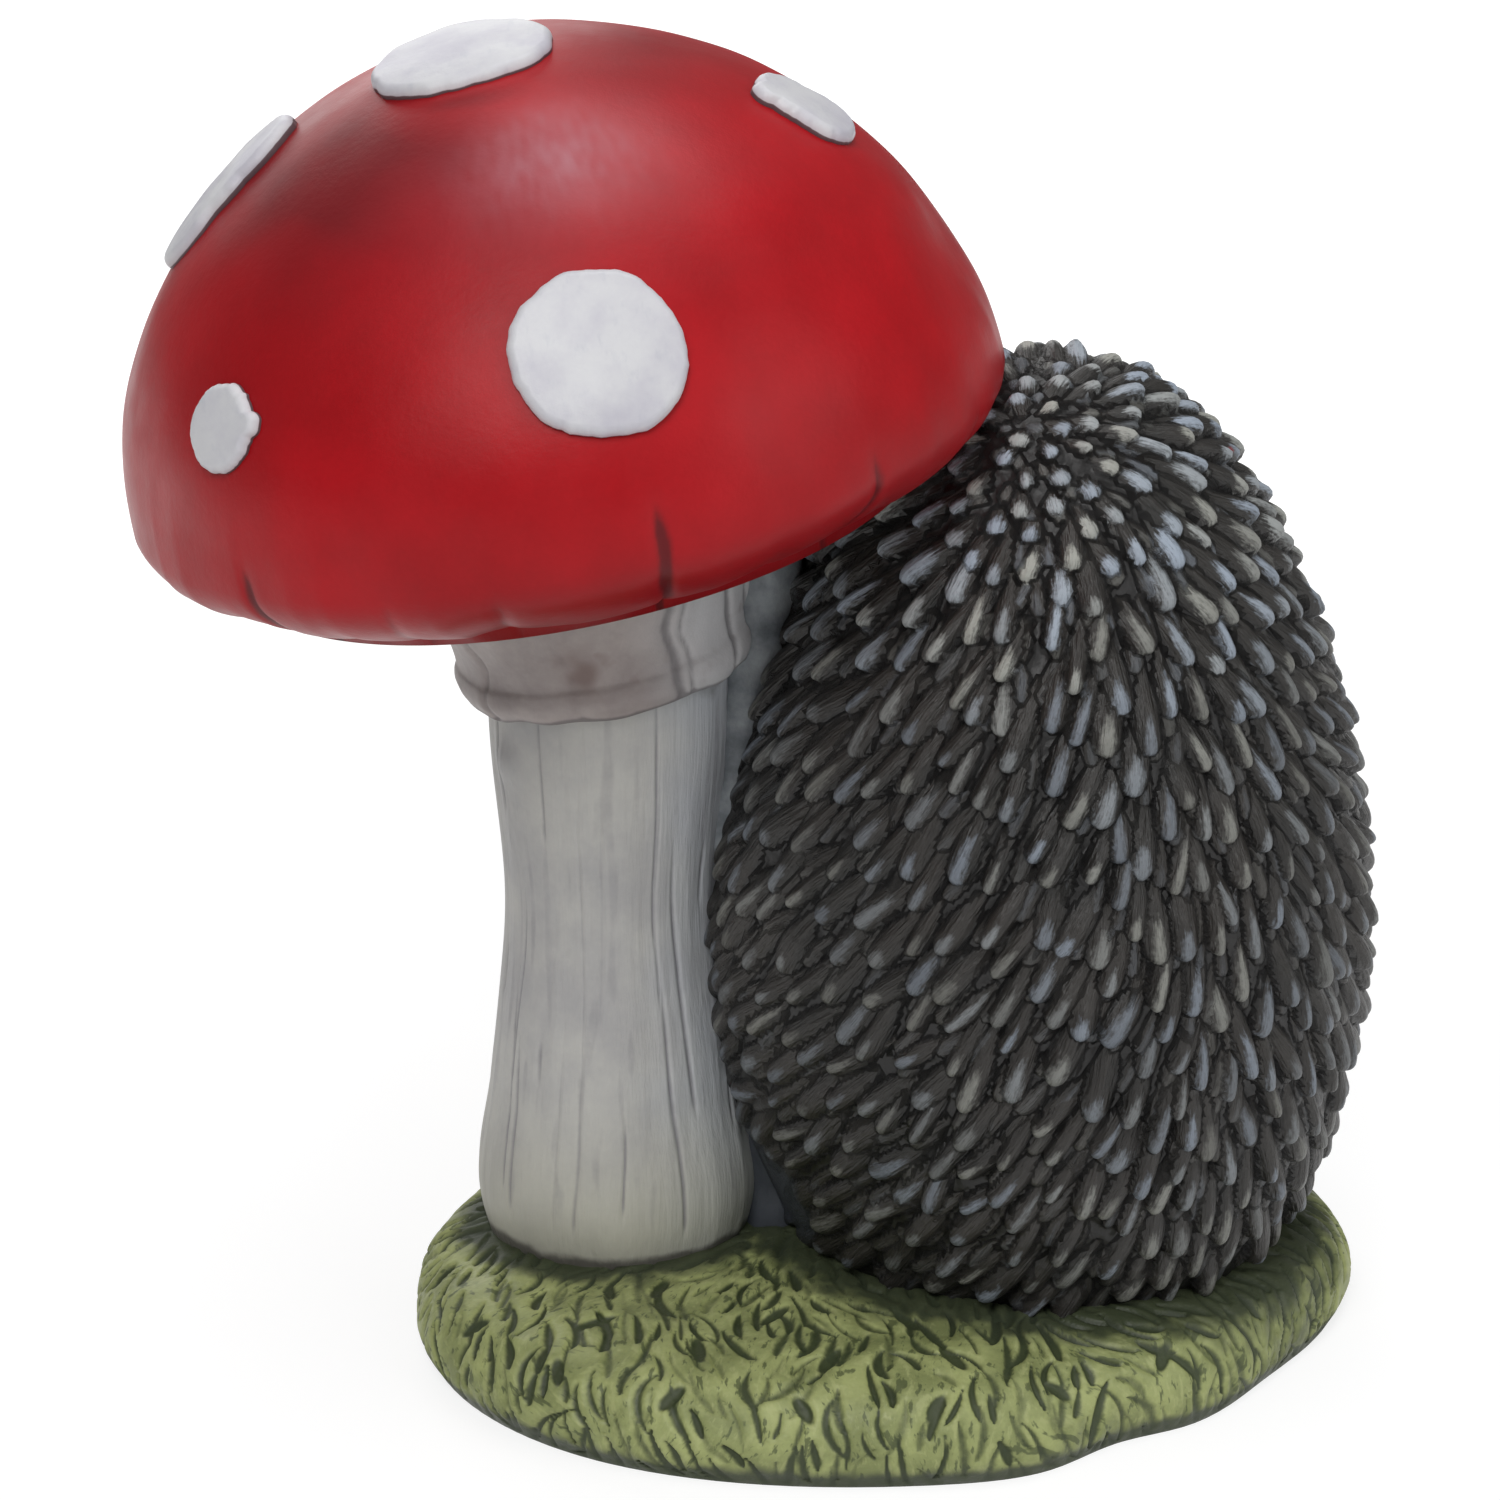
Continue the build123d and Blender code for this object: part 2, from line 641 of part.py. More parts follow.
for side, side_name in sides:
    # Eye: a ball sunk in the face beside the snout
    face_place = face_line @ eye_share
    eye_turn = math.radians(eye_spread)
    eye_across = side * face_place.X * math.sin(eye_turn)
    eye_up = face_place.X * math.cos(eye_turn)
    with BuildPart() as eye:
        with Locations(head_plane.from_local_coords((eye_across, -eye_up, face_place.Y))):
            Sphere(eye_radius)
        add(head.part, mode=Mode.SUBTRACT)
    save(eye, f"eye_{side_name}")

    # Ear: a round flap with a rolled edge and a dished front
    ear_yaw = math.radians(ear_turn)
    ear_plane = Plane(
        ear_centres[side_name],
        z_dir=(side * math.sin(ear_yaw), math.cos(ear_yaw), 0),
    )
    ear_roll = ear_thickness / 2
    with BuildPart() as ear:
        with BuildSketch(section_plane(ear_plane)):
            with BuildLine():
                flat = ear_radius - ear_roll
                ThreePointArc((flat, -ear_roll), (ear_radius, 0), (flat, ear_roll))
                ThreePointArc(
                    (flat, ear_roll),
                    (flat / 2, ear_roll - ear_dish_depth * 3 / 4),
                    (0, ear_roll - ear_dish_depth),
                )
                Polyline((0, ear_roll - ear_dish_depth), (0, -ear_roll), (flat, -ear_roll))
            make_face()
        revolve(axis=Axis(ear_plane.origin, ear_plane.z_dir))
        add(head.part, mode=Mode.SUBTRACT)
        add(coat_core.part, mode=Mode.SUBTRACT)
    save(ear, f"ear_{side_name}")

    # Arm: a drop from the shoulder to a hand on the belly
    shoulder, hand = arm_ends[side_name]
    arm_plane = Plane(shoulder, z_dir=hand - shoulder)
    arm_length = (hand - shoulder).length
    arm_section = drop_section(arm_plane, arm_shoulder_radius, arm_hand_radius, arm_length)
    with BuildPart() as arm:
        revolve(arm_section, axis=Axis(arm_plane.origin, arm_plane.z_dir))
        for neighbour in (belly, head, coat_core):
            add(neighbour.part, mode=Mode.SUBTRACT)
    save(arm, f"arm_{side_name}")

    # Foot: a drop that lies on the mound and points forward
    heel, toe = foot_ends[side_name]
    foot_plane = Plane(heel, z_dir=toe - heel)
    foot_section = drop_section(foot_plane, foot_heel_radius, foot_toe_radius, foot_length)
    with BuildPart() as foot:
        revolve(foot_section, axis=Axis(foot_plane.origin, foot_plane.z_dir))
        for neighbour in (mound, belly, coat_core):
            add(neighbour.part, mode=Mode.SUBTRACT)
    save(foot, f"foot_{side_name}")

# Tool that cuts a groove of the grass: a spindle, turned from one arc
with BuildPart() as blade:
    with BuildSketch(Plane.XZ):
        with BuildLine():
            ThreePointArc((0, -groove_length / 2), (groove_radius, 0), (0, groove_length / 2))
            Line((0, groove_length / 2), (0, -groove_length / 2))
        make_face()
    revolve(axis=Axis.Z)


def is_open_grass(point):
    """Whether a point of the mound's top lies clear of the stem, the coat and the feet."""
    if math.hypot(point.X - stem_x, point.Y - stem_y) < stem_foot_radius + groove_clearance:
        return False
    coat_place, _ = egg_place(base_height, 0)
    coat_reach = coat_place.X - body_x + quill_width + groove_clearance
    if math.hypot(point.X - body_x, point.Y - body_y) < coat_reach:
        return False
    for heel, toe in foot_ends.values():
        nearest_y = min(toe.Y, max(heel.Y, point.Y))
        if math.hypot(point.X - heel.X, point.Y - nearest_y) < foot_heel_radius + groove_clearance:
            return False
    return True


groove_planes = []
for ring_number, ring_share in enumerate(groove_ring_shares):
    ring = mound_outline(ring_share)
    groove_count = round(ring.length / groove_pitch)
    for index in range(groove_count):
        # each ring starts half a pitch on from the one before
        place_share = (index + ring_number / 2) / groove_count % 1
        place = ring @ place_share
        run = ring % place_share
        ray = Axis((place.X, place.Y, base_height + overrun), (0, 0, -1))
        hits = mound.part.find_intersection_points(ray)
        top, normal = max(hits, key=lambda hit: hit[0].Z)
        swing = math.radians(groove_swing * (1 - 2 * (index % 2)))
        way_out = Vector(run.Y, -run.X, 0) * math.cos(swing) + run * math.sin(swing)
        way = (way_out - normal * way_out.dot(normal)).normalized()
        ends = [top + way * groove_length / 2, top - way * groove_length / 2]
        if all(is_open_grass(end) for end in ends):
            groove_planes.append(Plane(top + normal * groove_rise, z_dir=way))

# Grass mound: the mound with the grooves between its tufts
with BuildPart() as grass_base:
    add(mound.part)
    with Locations(*[stand.location for stand in groove_planes]):
        add(blade.part, mode=Mode.SUBTRACT)
save(grass_base, "grass_base")
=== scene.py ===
import math

import bpy
import numpy as np
from mathutils import Matrix, Vector, noise
from mathutils.bvhtree import BVHTree


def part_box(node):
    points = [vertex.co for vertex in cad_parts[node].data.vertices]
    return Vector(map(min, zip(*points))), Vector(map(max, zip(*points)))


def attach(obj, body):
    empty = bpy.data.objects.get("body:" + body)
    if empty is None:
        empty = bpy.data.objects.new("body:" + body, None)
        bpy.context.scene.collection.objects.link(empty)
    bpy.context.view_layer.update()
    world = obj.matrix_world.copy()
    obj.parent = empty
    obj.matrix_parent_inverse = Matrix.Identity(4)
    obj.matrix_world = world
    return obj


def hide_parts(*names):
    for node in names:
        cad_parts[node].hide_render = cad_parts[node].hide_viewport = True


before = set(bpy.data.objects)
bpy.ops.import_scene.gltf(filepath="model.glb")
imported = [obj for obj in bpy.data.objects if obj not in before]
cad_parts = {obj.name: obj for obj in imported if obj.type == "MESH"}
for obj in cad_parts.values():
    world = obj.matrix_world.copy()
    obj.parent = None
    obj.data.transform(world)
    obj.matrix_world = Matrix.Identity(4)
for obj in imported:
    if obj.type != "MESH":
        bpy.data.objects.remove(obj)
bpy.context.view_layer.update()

# Shapes are worked out in millimetres, as the frame's parts were, and become metres in newPiece.
mm = 0.001


def smoothStep(low, high, value):
    share = np.clip((value - low) / (high - low), 0, 1)
    return share * share * (3 - 2 * share)


def bell(value, width):
    return np.exp(-(value / width) ** 2)


# Smooth noise from about -1 to 1, with lumps as wide as size
def softNoise(points, size, seed=0):
    shift = Vector((seed * 7.3, seed * 3.1, seed * 5.7))
    return np.array([noise.noise(Vector(p) + shift) for p in np.asarray(points) / size])


def unit(vectors):
    return vectors / np.maximum(np.linalg.norm(vectors, axis=-1, keepdims=True), 1e-9)


# A smooth line through given points, read at other places
def smoothLine(places, values, at):
    places = np.array(places, float)
    values = np.array(values, float)
    slopes = np.gradient(values, places)
    index = np.clip(np.searchsorted(places, at) - 1, 0, len(places) - 2)
    gap = places[index + 1] - places[index]
    share = np.clip((at - places[index]) / gap, 0, 1)
    start = values[index] * (1 + 2 * share) * (1 - share) ** 2
    end = values[index + 1] * share ** 2 * (3 - 2 * share)
    lean = slopes[index] * share * (1 - share) ** 2 - slopes[index + 1] * share ** 2 * (1 - share)
    return start + end + gap * lean


# The turn in degrees from one bearing to others, from -180 to 180
def bearingGap(bearings, fromBearing):
    return (bearings - fromBearing + 180) % 360 - 180


# Faces of rows of points that close round on themselves, with a single point at each end
def turnedFaces(rowCount, columnCount, flip=False):
    column = np.arange(columnCount)
    nextColumn = (column + 1) % columnCount
    faces = []
    for row in range(rowCount - 1):
        low = 1 + row * columnCount
        high = low + columnCount
        faces += np.stack([low + column, low + nextColumn, high + nextColumn, high + column], 1).tolist()
    last = 1 + (rowCount - 1) * columnCount
    end = last + columnCount
    faces += [[0, 1 + b, 1 + a] for a, b in zip(column, nextColumn)]
    faces += [[end, last + a, last + b] for a, b in zip(column, nextColumn)]
    return [face[::-1] for face in faces] if flip else faces


# Values of the rows, with one more for the single point at each end
def padEnds(values, start=0, end=0):
    return np.concatenate([[start], values, [end]])


def asTriangles(faces):
    triangles = []
    for face in faces:
        triangles += [face] if len(face) == 3 else [face[:3], [face[0], face[2], face[3]]]
    return triangles


# Points of rows about an axis: radii and heights are one value a row, turns one a column
def turnedPoints(radii, heights, turns):
    across = np.outer(radii, np.cos(turns))
    along = np.outer(radii, np.sin(turns))
    up = np.outer(heights, np.ones(len(turns)))
    return np.stack([across, along, up], -1).reshape(-1, 3)


def addAttribute(mesh, name, values):
    kind = "FLOAT_VECTOR" if np.ndim(values) == 2 else "FLOAT"
    layer = mesh.attributes.new(name, kind, "POINT")
    field = "vector" if kind == "FLOAT_VECTOR" else "value"
    layer.data.foreach_set(field, np.asarray(values, np.float32).ravel())


def placeObject(name, data):
    placed = bpy.data.objects.new(name, data)
    bpy.context.scene.collection.objects.link(placed)
    return placed


# A mesh object of points in millimetres, which stands for CAD nodes and rides with the root
def newPiece(name, points, faces, material, nodes=(), attributes=None):
    mesh = bpy.data.meshes.new(name)
    mesh.from_pydata((np.asarray(points) * mm).tolist(), [], faces)
    mesh.update()
    mesh.shade_smooth()
    for layerName, values in (attributes or {}).items():
        addAttribute(mesh, layerName, values)
    piece = placeObject(name, mesh)
    mesh.materials.append(material)
    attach(piece, "root")
    if nodes:
        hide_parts(*nodes)
    return piece


# The mesh that a piece's modifiers make of its own
def modifiedMesh(piece):
    return bpy.data.meshes.new_from_object(piece.evaluated_get(bpy.context.evaluated_depsgraph_get()))


def meshArrays(mesh):
    points = np.empty(len(mesh.vertices) * 3)
    mesh.vertices.foreach_get("co", points)
    normals = np.empty(len(mesh.vertices) * 3)
    mesh.vertices.foreach_get("normal", normals)
    return points.reshape(-1, 3), normals.reshape(-1, 3)


# Replaces a piece's mesh by one with fewer triangles, dense where the relief is
def thinOut(piece, triangleLimit):
    count = sum(len(face.vertices) - 2 for face in piece.data.polygons)
    if count <= triangleLimit:
        return
    thinner = piece.modifiers.new("thinner", "DECIMATE")
    thinner.ratio = triangleLimit / count
    full = piece.data
    piece.data = modifiedMesh(piece)
    piece.modifiers.clear()
    piece.data.name = piece.name
    bpy.data.meshes.remove(full)


# A round closed mesh with even triangles: unit directions and their faces
def roundMesh(level):
    bpy.ops.mesh.primitive_ico_sphere_add(subdivisions=level, radius=1)
    ball = bpy.context.object
    directions, _ = meshArrays(ball.data)
    faces = [list(face.vertices) for face in ball.data.polygons]
    mesh = ball.data
    bpy.data.objects.remove(ball)
    bpy.data.meshes.remove(mesh)
    return unit(directions), faces


def vertexNormals(points, faces):
    corners = np.array(faces)
    first, second, third = (points[corners[:, i]] for i in range(3))
    faceNormals = np.cross(second - first, third - first)
    normals = np.zeros_like(points)
    for i in range(3):
        np.add.at(normals, corners[:, i], faceNormals)
    return unit(normals)


# PAINT: node helpers, and shader groups that several materials share
def srgb(red, green, blue):
    def linear(level):
        share = level / 255
        return share / 12.92 if share <= 0.04045 else ((share + 0.055) / 1.055) ** 2.4
    return (linear(red), linear(green), linear(blue), 1)


# Short ways to make nodes inside one tree
class Nodes:
    def __init__(self, tree):
        self.tree = tree

    def add(self, kind, **settings):
        node = self.tree.nodes.new(kind)
        for key, value in settings.items():
            setattr(node, key, value)
        return node

    def join(self, source, target):
        self.tree.links.new(source, target)

    def feed(self, socket, value):
        if isinstance(value, bpy.types.NodeSocket):
            self.join(value, socket)
        else:
            socket.default_value = value

    def feedAll(self, node, *values):
        for socket, value in zip(node.inputs, values):
            self.feed(socket, value)
        return node.outputs

    def maths(self, operation, *values, clamp=False):
        return self.feedAll(self.add("ShaderNodeMath", operation=operation, use_clamp=clamp), *values)[0]

    # How far a noise swings from its middle, times an amount
    def swing(self, value, amount):
        return self.maths("MULTIPLY", self.maths("SUBTRACT", value, 0.5), amount)

    def mix(self, share, first, second):
        node = self.add("ShaderNodeMix", data_type="RGBA")
        for socket, value in ((0, share), (6, first), (7, second)):
            self.feed(node.inputs[socket], value)
        return node.outputs[2]

    def ramp(self, value, low, high, start=0.0, end=1.0):
        node = self.add("ShaderNodeMapRange", interpolation_type="SMOOTHSTEP")
        return self.feedAll(node, value, low, high, start, end)[0]

    def noise(self, vector, scale, detail=3.0, rough=0.55):
        node = self.add("ShaderNodeTexNoise")
        for name, value in (("Vector", vector), ("Scale", scale), ("Detail", detail), ("Roughness", rough)):
            self.feed(node.inputs[name], value)
        return node.outputs["Fac"]

    def attribute(self, name, output="Fac"):
        return self.add("ShaderNodeAttribute", attribute_name=name).outputs[output]

    def place(self):
        return self.add("ShaderNodeTexCoord").outputs["Object"]

    # Noise in streaks: each way's scale says how fine it is
    def streaks(self, vector, scales, rough=0.55):
        node = self.add("ShaderNodeMapping")
        self.feed(node.inputs["Vector"], vector)
        self.feed(node.inputs["Scale"], scales)
        return self.noise(node.outputs[0], 1.0, 3.0, rough)


# A group's inputs are colours where they have no starting value. Gives its nodes and its two ends.
def newGroup(name, inputs, outputs):
    group = bpy.data.node_groups.new(name, "ShaderNodeTree")
    for socketName, start in inputs.items():
        kind = "NodeSocketColor" if start is None else "NodeSocketFloat"
        socket = group.interface.new_socket(socketName, in_out="INPUT", socket_type=kind)
        if start is not None:
            socket.default_value = start
    for socketName in outputs:
        kind = "NodeSocketColor" if socketName == "Color" else "NodeSocketFloat"
        group.interface.new_socket(socketName, in_out="OUTPUT", socket_type=kind)
    given, shown = group.nodes.new("NodeGroupInput"), group.nodes.new("NodeGroupOutput")
    return Nodes(group), given.outputs, shown.inputs


# Hand-mixed paint: two tones in soft clouds, with a finer stipple
def makePaintGroup():
    make, given, shown = newGroup(
        "mottledPaint",
        {"Light": None, "Dark": None, "Cloud Scale": 60.0, "Stipple Scale": 900.0, "Stipple": 0.3},
        ["Color"])
    place = make.place()
    clouds = make.ramp(make.noise(place, given["Cloud Scale"], 4.0), 0.3, 0.7)
    stipple = make.swing(make.noise(place, given["Stipple Scale"], 2.0, 0.7), given["Stipple"])
    share = make.maths("ADD", clouds, stipple, clamp=True)
    make.join(make.mix(share, given["Dark"], given["Light"]), shown["Color"])
    return make.tree


# Thin dark wash that settles where the relief is deep, also used to lay painted shade: depth 0 leaves the
# colour, 1 covers it
def makeWashGroup():
    make, given, shown = newGroup(
        "settledWash",
        {"Color": None, "Wash": None, "Depth": 0.0, "Amount": 1.0, "Unevenness": 0.5, "Scale": 300.0},
        ["Color"])
    patches = make.swing(make.noise(make.place(), given["Scale"], 4.0, 0.6), given["Unevenness"])
    settled = make.ramp(make.maths("ADD", given["Depth"], patches), 0.15, 0.75)
    mask = make.maths("MULTIPLY", settled, given["Amount"], clamp=True)
    make.join(make.mix(mask, given["Color"], given["Wash"]), shown["Color"])
    return make.tree


# Dry brush: paint that a nearly dry brush leaves on the parts that stand up, in streaks
def makeBrushGroup():
    make, given, shown = newGroup(
        "dryBrush",
        {"Color": None, "Paint": None, "Field": 0.0, "Streaks": 0.5, "Raggedness": 0.6, "Softness": 0.25,
         "Cover": 0.9},
        ["Color", "Mask"])
    field = make.maths("ADD", given["Field"], make.swing(given["Streaks"], given["Raggedness"]))
    share = make.maths("DIVIDE", field, given["Softness"], clamp=True)
    mask = make.maths("MULTIPLY", share, given["Cover"], clamp=True)
    make.join(make.mix(mask, given["Color"], given["Paint"]), shown["Color"])
    make.join(mask, shown["Mask"])
    return make.tree


# Skin of cast resin: pits and grain as a height, and where it is worn
def makeSkinGroup():
    make, given, shown = newGroup(
        "castSkin",
        {"Scale": 700.0, "Grain": 0.5, "Waves": 0.5},
        ["Height", "Wear"])
    place = make.place()
    grain = make.noise(place, given["Scale"], 4.0, 0.65)
    waves = make.noise(place, make.maths("MULTIPLY", given["Scale"], 0.09), 3.0)
    make.join(make.maths("ADD", make.maths("MULTIPLY", grain, given["Grain"]),
                         make.maths("MULTIPLY", waves, given["Waves"])), shown["Height"])
    make.join(waves, shown["Wear"])
    return make.tree


groups = {
    "paint": makePaintGroup(),
    "wash": makeWashGroup(),
    "brush": makeBrushGroup(),
    "skin": makeSkinGroup(),
}


# A material with its Principled shader, and helpers to place the groups in it
class Paint(Nodes):
    def __init__(self, name, specular=0.4, coat=0.0, coatRoughness=0.3):
        self.material = bpy.data.materials.new(name)
        self.material.use_nodes = True
        super().__init__(self.material.node_tree)
        self.tree.nodes.clear()
        self.shader = self.add("ShaderNodeBsdfPrincipled")
        self.shader.inputs["Specular IOR Level"].default_value = specular
        self.shader.inputs["Coat Weight"].default_value = coat
        self.shader.inputs["Coat Roughness"].default_value = coatRoughness
        self.join(self.shader.outputs[0], self.add("ShaderNodeOutputMaterial").inputs[0])

    def group(self, kind, *values):
        return self.feedAll(self.add("ShaderNodeGroup", node_tree=groups[kind]), *values)

    def base(self, light, dark, cloudScale, stippleScale, stipple):
        return self.group("paint", light, dark, cloudScale, stippleScale, stipple)["Color"]

    def wash(self, colour, wash, depth, amount, unevenness, scale):
        return self.group("wash", colour, wash, depth, amount, unevenness, scale)["Color"]

    def brush(self, colour, paint, field, streaks, raggedness, softness, cover):
        return self.group("brush", colour, paint, field, streaks, raggedness, softness, cover)

    # Moves a colour toward another as far as one of the mesh's attributes says
    def tint(self, name, colour, toward):
        return self.mix(self.attribute(name), colour, toward)

    # Skin holds the cast surface's scale, grain and waves. A roughness of four numbers follows its
    # wear, and marks are a height on top of it.
    def finish(self, colour, roughness, skin, bumpDistance, marks=None):
        surface = self.group("skin", *skin)
        if isinstance(roughness, tuple):
            roughness = self.ramp(surface["Wear"], *roughness)
        height = surface["Height"] if marks is None else self.maths("ADD", surface["Height"], marks)
        self.feed(self.shader.inputs["Base Color"], colour)
        self.feed(self.shader.inputs["Roughness"], roughness)
        bump = self.add("ShaderNodeBump")
        bump.inputs["Distance"].default_value = bumpDistance
        bump.inputs["Strength"].default_value = 1.0
        self.join(height, bump.inputs["Height"])
        self.join(bump.outputs[0], self.shader.inputs["Normal"])
        return self.material


# STRANDS: drop-shaped locks laid on a surface along a flow, each one's tip over the next one's root
def scatterSeeds(points, flows, spacing, stretch, seed, tries=24000):
    order = np.random.RandomState(seed).permutation(len(points))[:tries]
    kept = np.empty((len(order), 3))
    chosen = []
    for index in order:
        apart = kept[:len(chosen)] - points[index]
        along = apart @ flows[index]
        distance = (apart ** 2).sum(1) - along ** 2 * (1 - 1 / stretch ** 2)
        if not chosen or distance.min() > spacing ** 2:
            kept[len(chosen)] = points[index]
            chosen.append(index)
    return np.array(chosen)


# A strand's outline in shares of its length, and what its tip's length is to its width
strandShape = {
    "tipLength": 1.15,
    "rootWidth": 0.32,
    "widestAt": 0.55,
    "rootRise": 0.03,
    "highestAt": 0.8,
    "roundness": 0.72,
    "tipRoundness": 0.75,
}


# Lays strands on points. Tips are the places where the strands end, and sizes holds arrays of one
# value a strand. Gives the height of the relief and what the paint needs at every point.
def layStrands(points, tips, tipNormals, flows, sizes):
    count = len(points)
    height = np.zeros(count)
    ridge = np.zeros(count)
    field = np.full(count, -1.0)
    grain = np.zeros((count, 3))
    tone = np.zeros(count)
    cover = np.zeros(count)
    byHeight = np.argsort(points[:, 2])
    levels = points[byHeight, 2]
    rootWidth, rootRise = strandShape["rootWidth"], strandShape["rootRise"]
    measures = np.stack([sizes[key] for key in ("length", "width", "rise", "bend", "dab", "stroke")], 1)
    for order, tipPlace in enumerate(tips):
        length, width, rise, bend, dab, stroke = measures[order]
        flow = flows[order]
        side = np.cross(tipNormals[order], flow)
        root = tipPlace - flow * (length - width)
        middle = root + flow * length / 2
        reach = length / 2 + width
        first, last = np.searchsorted(levels, [middle[2] - reach, middle[2] + reach])
        near = byHeight[first:last]
        near = near[((points[near] - middle) ** 2).sum(1) < reach ** 2]
        apart = points[near] - root
        along = apart @ flow
        across = apart @ side - bend * (along / length) ** 2 * length
        share = along / length
        tipLength = width * strandShape["tipLength"]
        tip = np.sqrt(np.clip(1 - np.clip((along - length + tipLength) / tipLength, 0, 1) ** 2, 0, 1))
        swelling = rootWidth + (1 - rootWidth) * smoothStep(0, strandShape["widestAt"], share)
        halfWidth = width * swelling * np.maximum(tip, 1e-3)
        spread = np.clip(1 - (across / halfWidth) ** 2, 0, 1) ** strandShape["roundness"]
        climb = rootRise + (1 - rootRise) * smoothStep(0, strandShape["highestAt"], share)
        crest = rise * climb * tip ** strandShape["tipRoundness"]
        lift = np.where((along > 0) & (along < length), crest * spread, 0)
        higher = lift > height[near]
        where = near[higher]
        height[where] = lift[higher]
        ridge[where] = spread[higher]
        dabHalf = width * dab * (0.45 + 0.55 * smoothStep(length - stroke, length - stroke * 0.4, along))
        inside = np.minimum(1 - np.abs(across) / dabHalf, (along - length + stroke) / (stroke * 0.3))
        inside = np.minimum(inside, (length - 0.12 * width - along) / (0.35 * width))
        field[where] = np.maximum(inside, -1)[higher]
        grain[where] = np.stack([across, along, np.full(len(near), (order * 0.618) % 1)], 1)[higher]
        tone[where] = sizes["tone"][order]
        cover[where] = sizes["cover"][order]
    return height, ridge, field, grain, tone, cover


# GRASS MOUND
grassMound = {
    "outlineHeight": 3.0,
    "profileShares": [(0.0, 1.0), (0.6, 1.0), (0.8, 0.95), (0.925, 0.82), (0.985, 0.55), (1.0, 0.25),
                      (0.97, 0.0)],
    "columns": 860,
    "rows": (110, 88),
    "triangles": 190000,
    "bladesFrom": (-6.0, 14.0),
    "grooveSpacing": 1.7,
    "grooveStretch": 2.3,
    "grooveTries": 90000,
    "groovesLeftOut": 0.12,
    "grooveLength": (3.5, 8.5),
    "grooveWidth": (0.4, 0.95),
    "grooveBend": (-0.12, 0.12),
    "grooveDepth": 0.7,
    "tuftWidth": 11,
    "tuftSwing": 1.7,
    "lumps": 0.5,
    # rings of painted shade with a dark wash round the stem's foot and the hedgehog: radius and reach
    "stemWashAndShade": (15.5, 6.5),
    "bodyWashAndShade": (31, 8.5),
    "paint": (srgb(174, 182, 120), srgb(136, 144, 92)),
    "lightBlades": srgb(182, 188, 130),
    "darkBlades": srgb(74, 84, 52),
    "grooveColour": srgb(54, 64, 40),
    "washAndShadeColour": srgb(58, 66, 48),
}


def makeGrassMaterial():
    paint = Paint("grassPaint", specular=0.45)
    base = paint.base(*grassMound["paint"], cloudScale=170.0, stippleScale=1400.0, stipple=0.6)
    fine = paint.streaks(paint.attribute("blade", "Vector"), (1.5, 0.3, 1.0), 0.6)
    light = paint.brush(base, grassMound["lightBlades"], paint.maths("SUBTRACT", fine, 0.56), fine,
                        raggedness=0.3, softness=0.12, cover=0.55)["Color"]
    dusk = paint.wash(light, grassMound["darkBlades"], paint.ramp(fine, 0.48, 0.3),
                      amount=0.75, unevenness=0.5, scale=240.0)
    carved = paint.wash(dusk, grassMound["grooveColour"], paint.attribute("groove"),
                        amount=0.95, unevenness=0.35, scale=900.0)
    # painted shade with a dark wash round the stem and the hedgehog, dark paint along the bottom edge
    dark = paint.wash(carved, grassMound["washAndShadeColour"], paint.attribute("wash"),
                      amount=0.95, unevenness=0.5, scale=350.0)
    return paint.finish(dark, (0.3, 0.7, 0.42, 0.6), (900.0, 0.5, 0.4), 0.00025)


# The middle of the frame's stem, seen from above
def stemMiddle():
    low, high = (np.array(corner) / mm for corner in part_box("mushroom_stem"))
    return (low + high)[:2] / 2


# Strokes cut between tufts of grass: how deep each point of the unrolled sheet lies in one
def cutGrass(sheet, flows):
    randoms = np.random.RandomState(11)
    seeds = scatterSeeds(sheet, flows, grassMound["grooveSpacing"], grassMound["grooveStretch"], 5,
                         grassMound["grooveTries"])
    groove = np.zeros(len(sheet))
    tufts = grassMound["tuftSwing"] * softNoise(sheet, grassMound["tuftWidth"], 21)
    flat = sheet[:, :2].copy()
    for index in seeds:
        if randoms.rand() < grassMound["groovesLeftOut"]:
            continue
        swing = tufts[index] + randoms.uniform(-0.3, 0.3)
        flow = flows[index][:2]
        flow = np.array([flow[0] - swing * flow[1], flow[1] + swing * flow[0]])
        flow /= np.linalg.norm(flow)
        side = np.array([-flow[1], flow[0]])
        length = randoms.uniform(*grassMound["grooveLength"])
        width = randoms.uniform(*grassMound["grooveWidth"])
        bend = randoms.uniform(*grassMound["grooveBend"])
        apart = flat - flat[index]
        near = np.nonzero((apart ** 2).sum(1) < length ** 2)[0]
        along = apart[near] @ flow / (length / 2)
        across = apart[near] @ side + bend * (apart[near] @ flow) ** 2
        half = width * np.clip(1 - along ** 2, 0, 1) ** 0.6 * (1 + 0.35 * along)
        cut = np.clip(1 - (across / np.maximum(half, 1e-3)) ** 2, 0, 1) * (np.abs(along) < 1)
        groove[near] = np.maximum(groove[near], cut * randoms.uniform(0.4, 1))
    return groove


# The frame's main grooves, found by how deep its surface lies below the smooth one
def frameGrooves(tree, points, normals):
    above, reach = 2, 6
    carved = np.zeros(len(points))
    for index in np.nonzero(points[:, 2] > above)[0]:
        start, inward = Vector(points[index] + normals[index] * above) * mm, -Vector(normals[index])
        distance = tree.ray_cast(start, inward, reach * mm)[3]
        carved[index] = distance / mm - above if distance else 0
    return smoothStep(0.25, 0.9, carved)


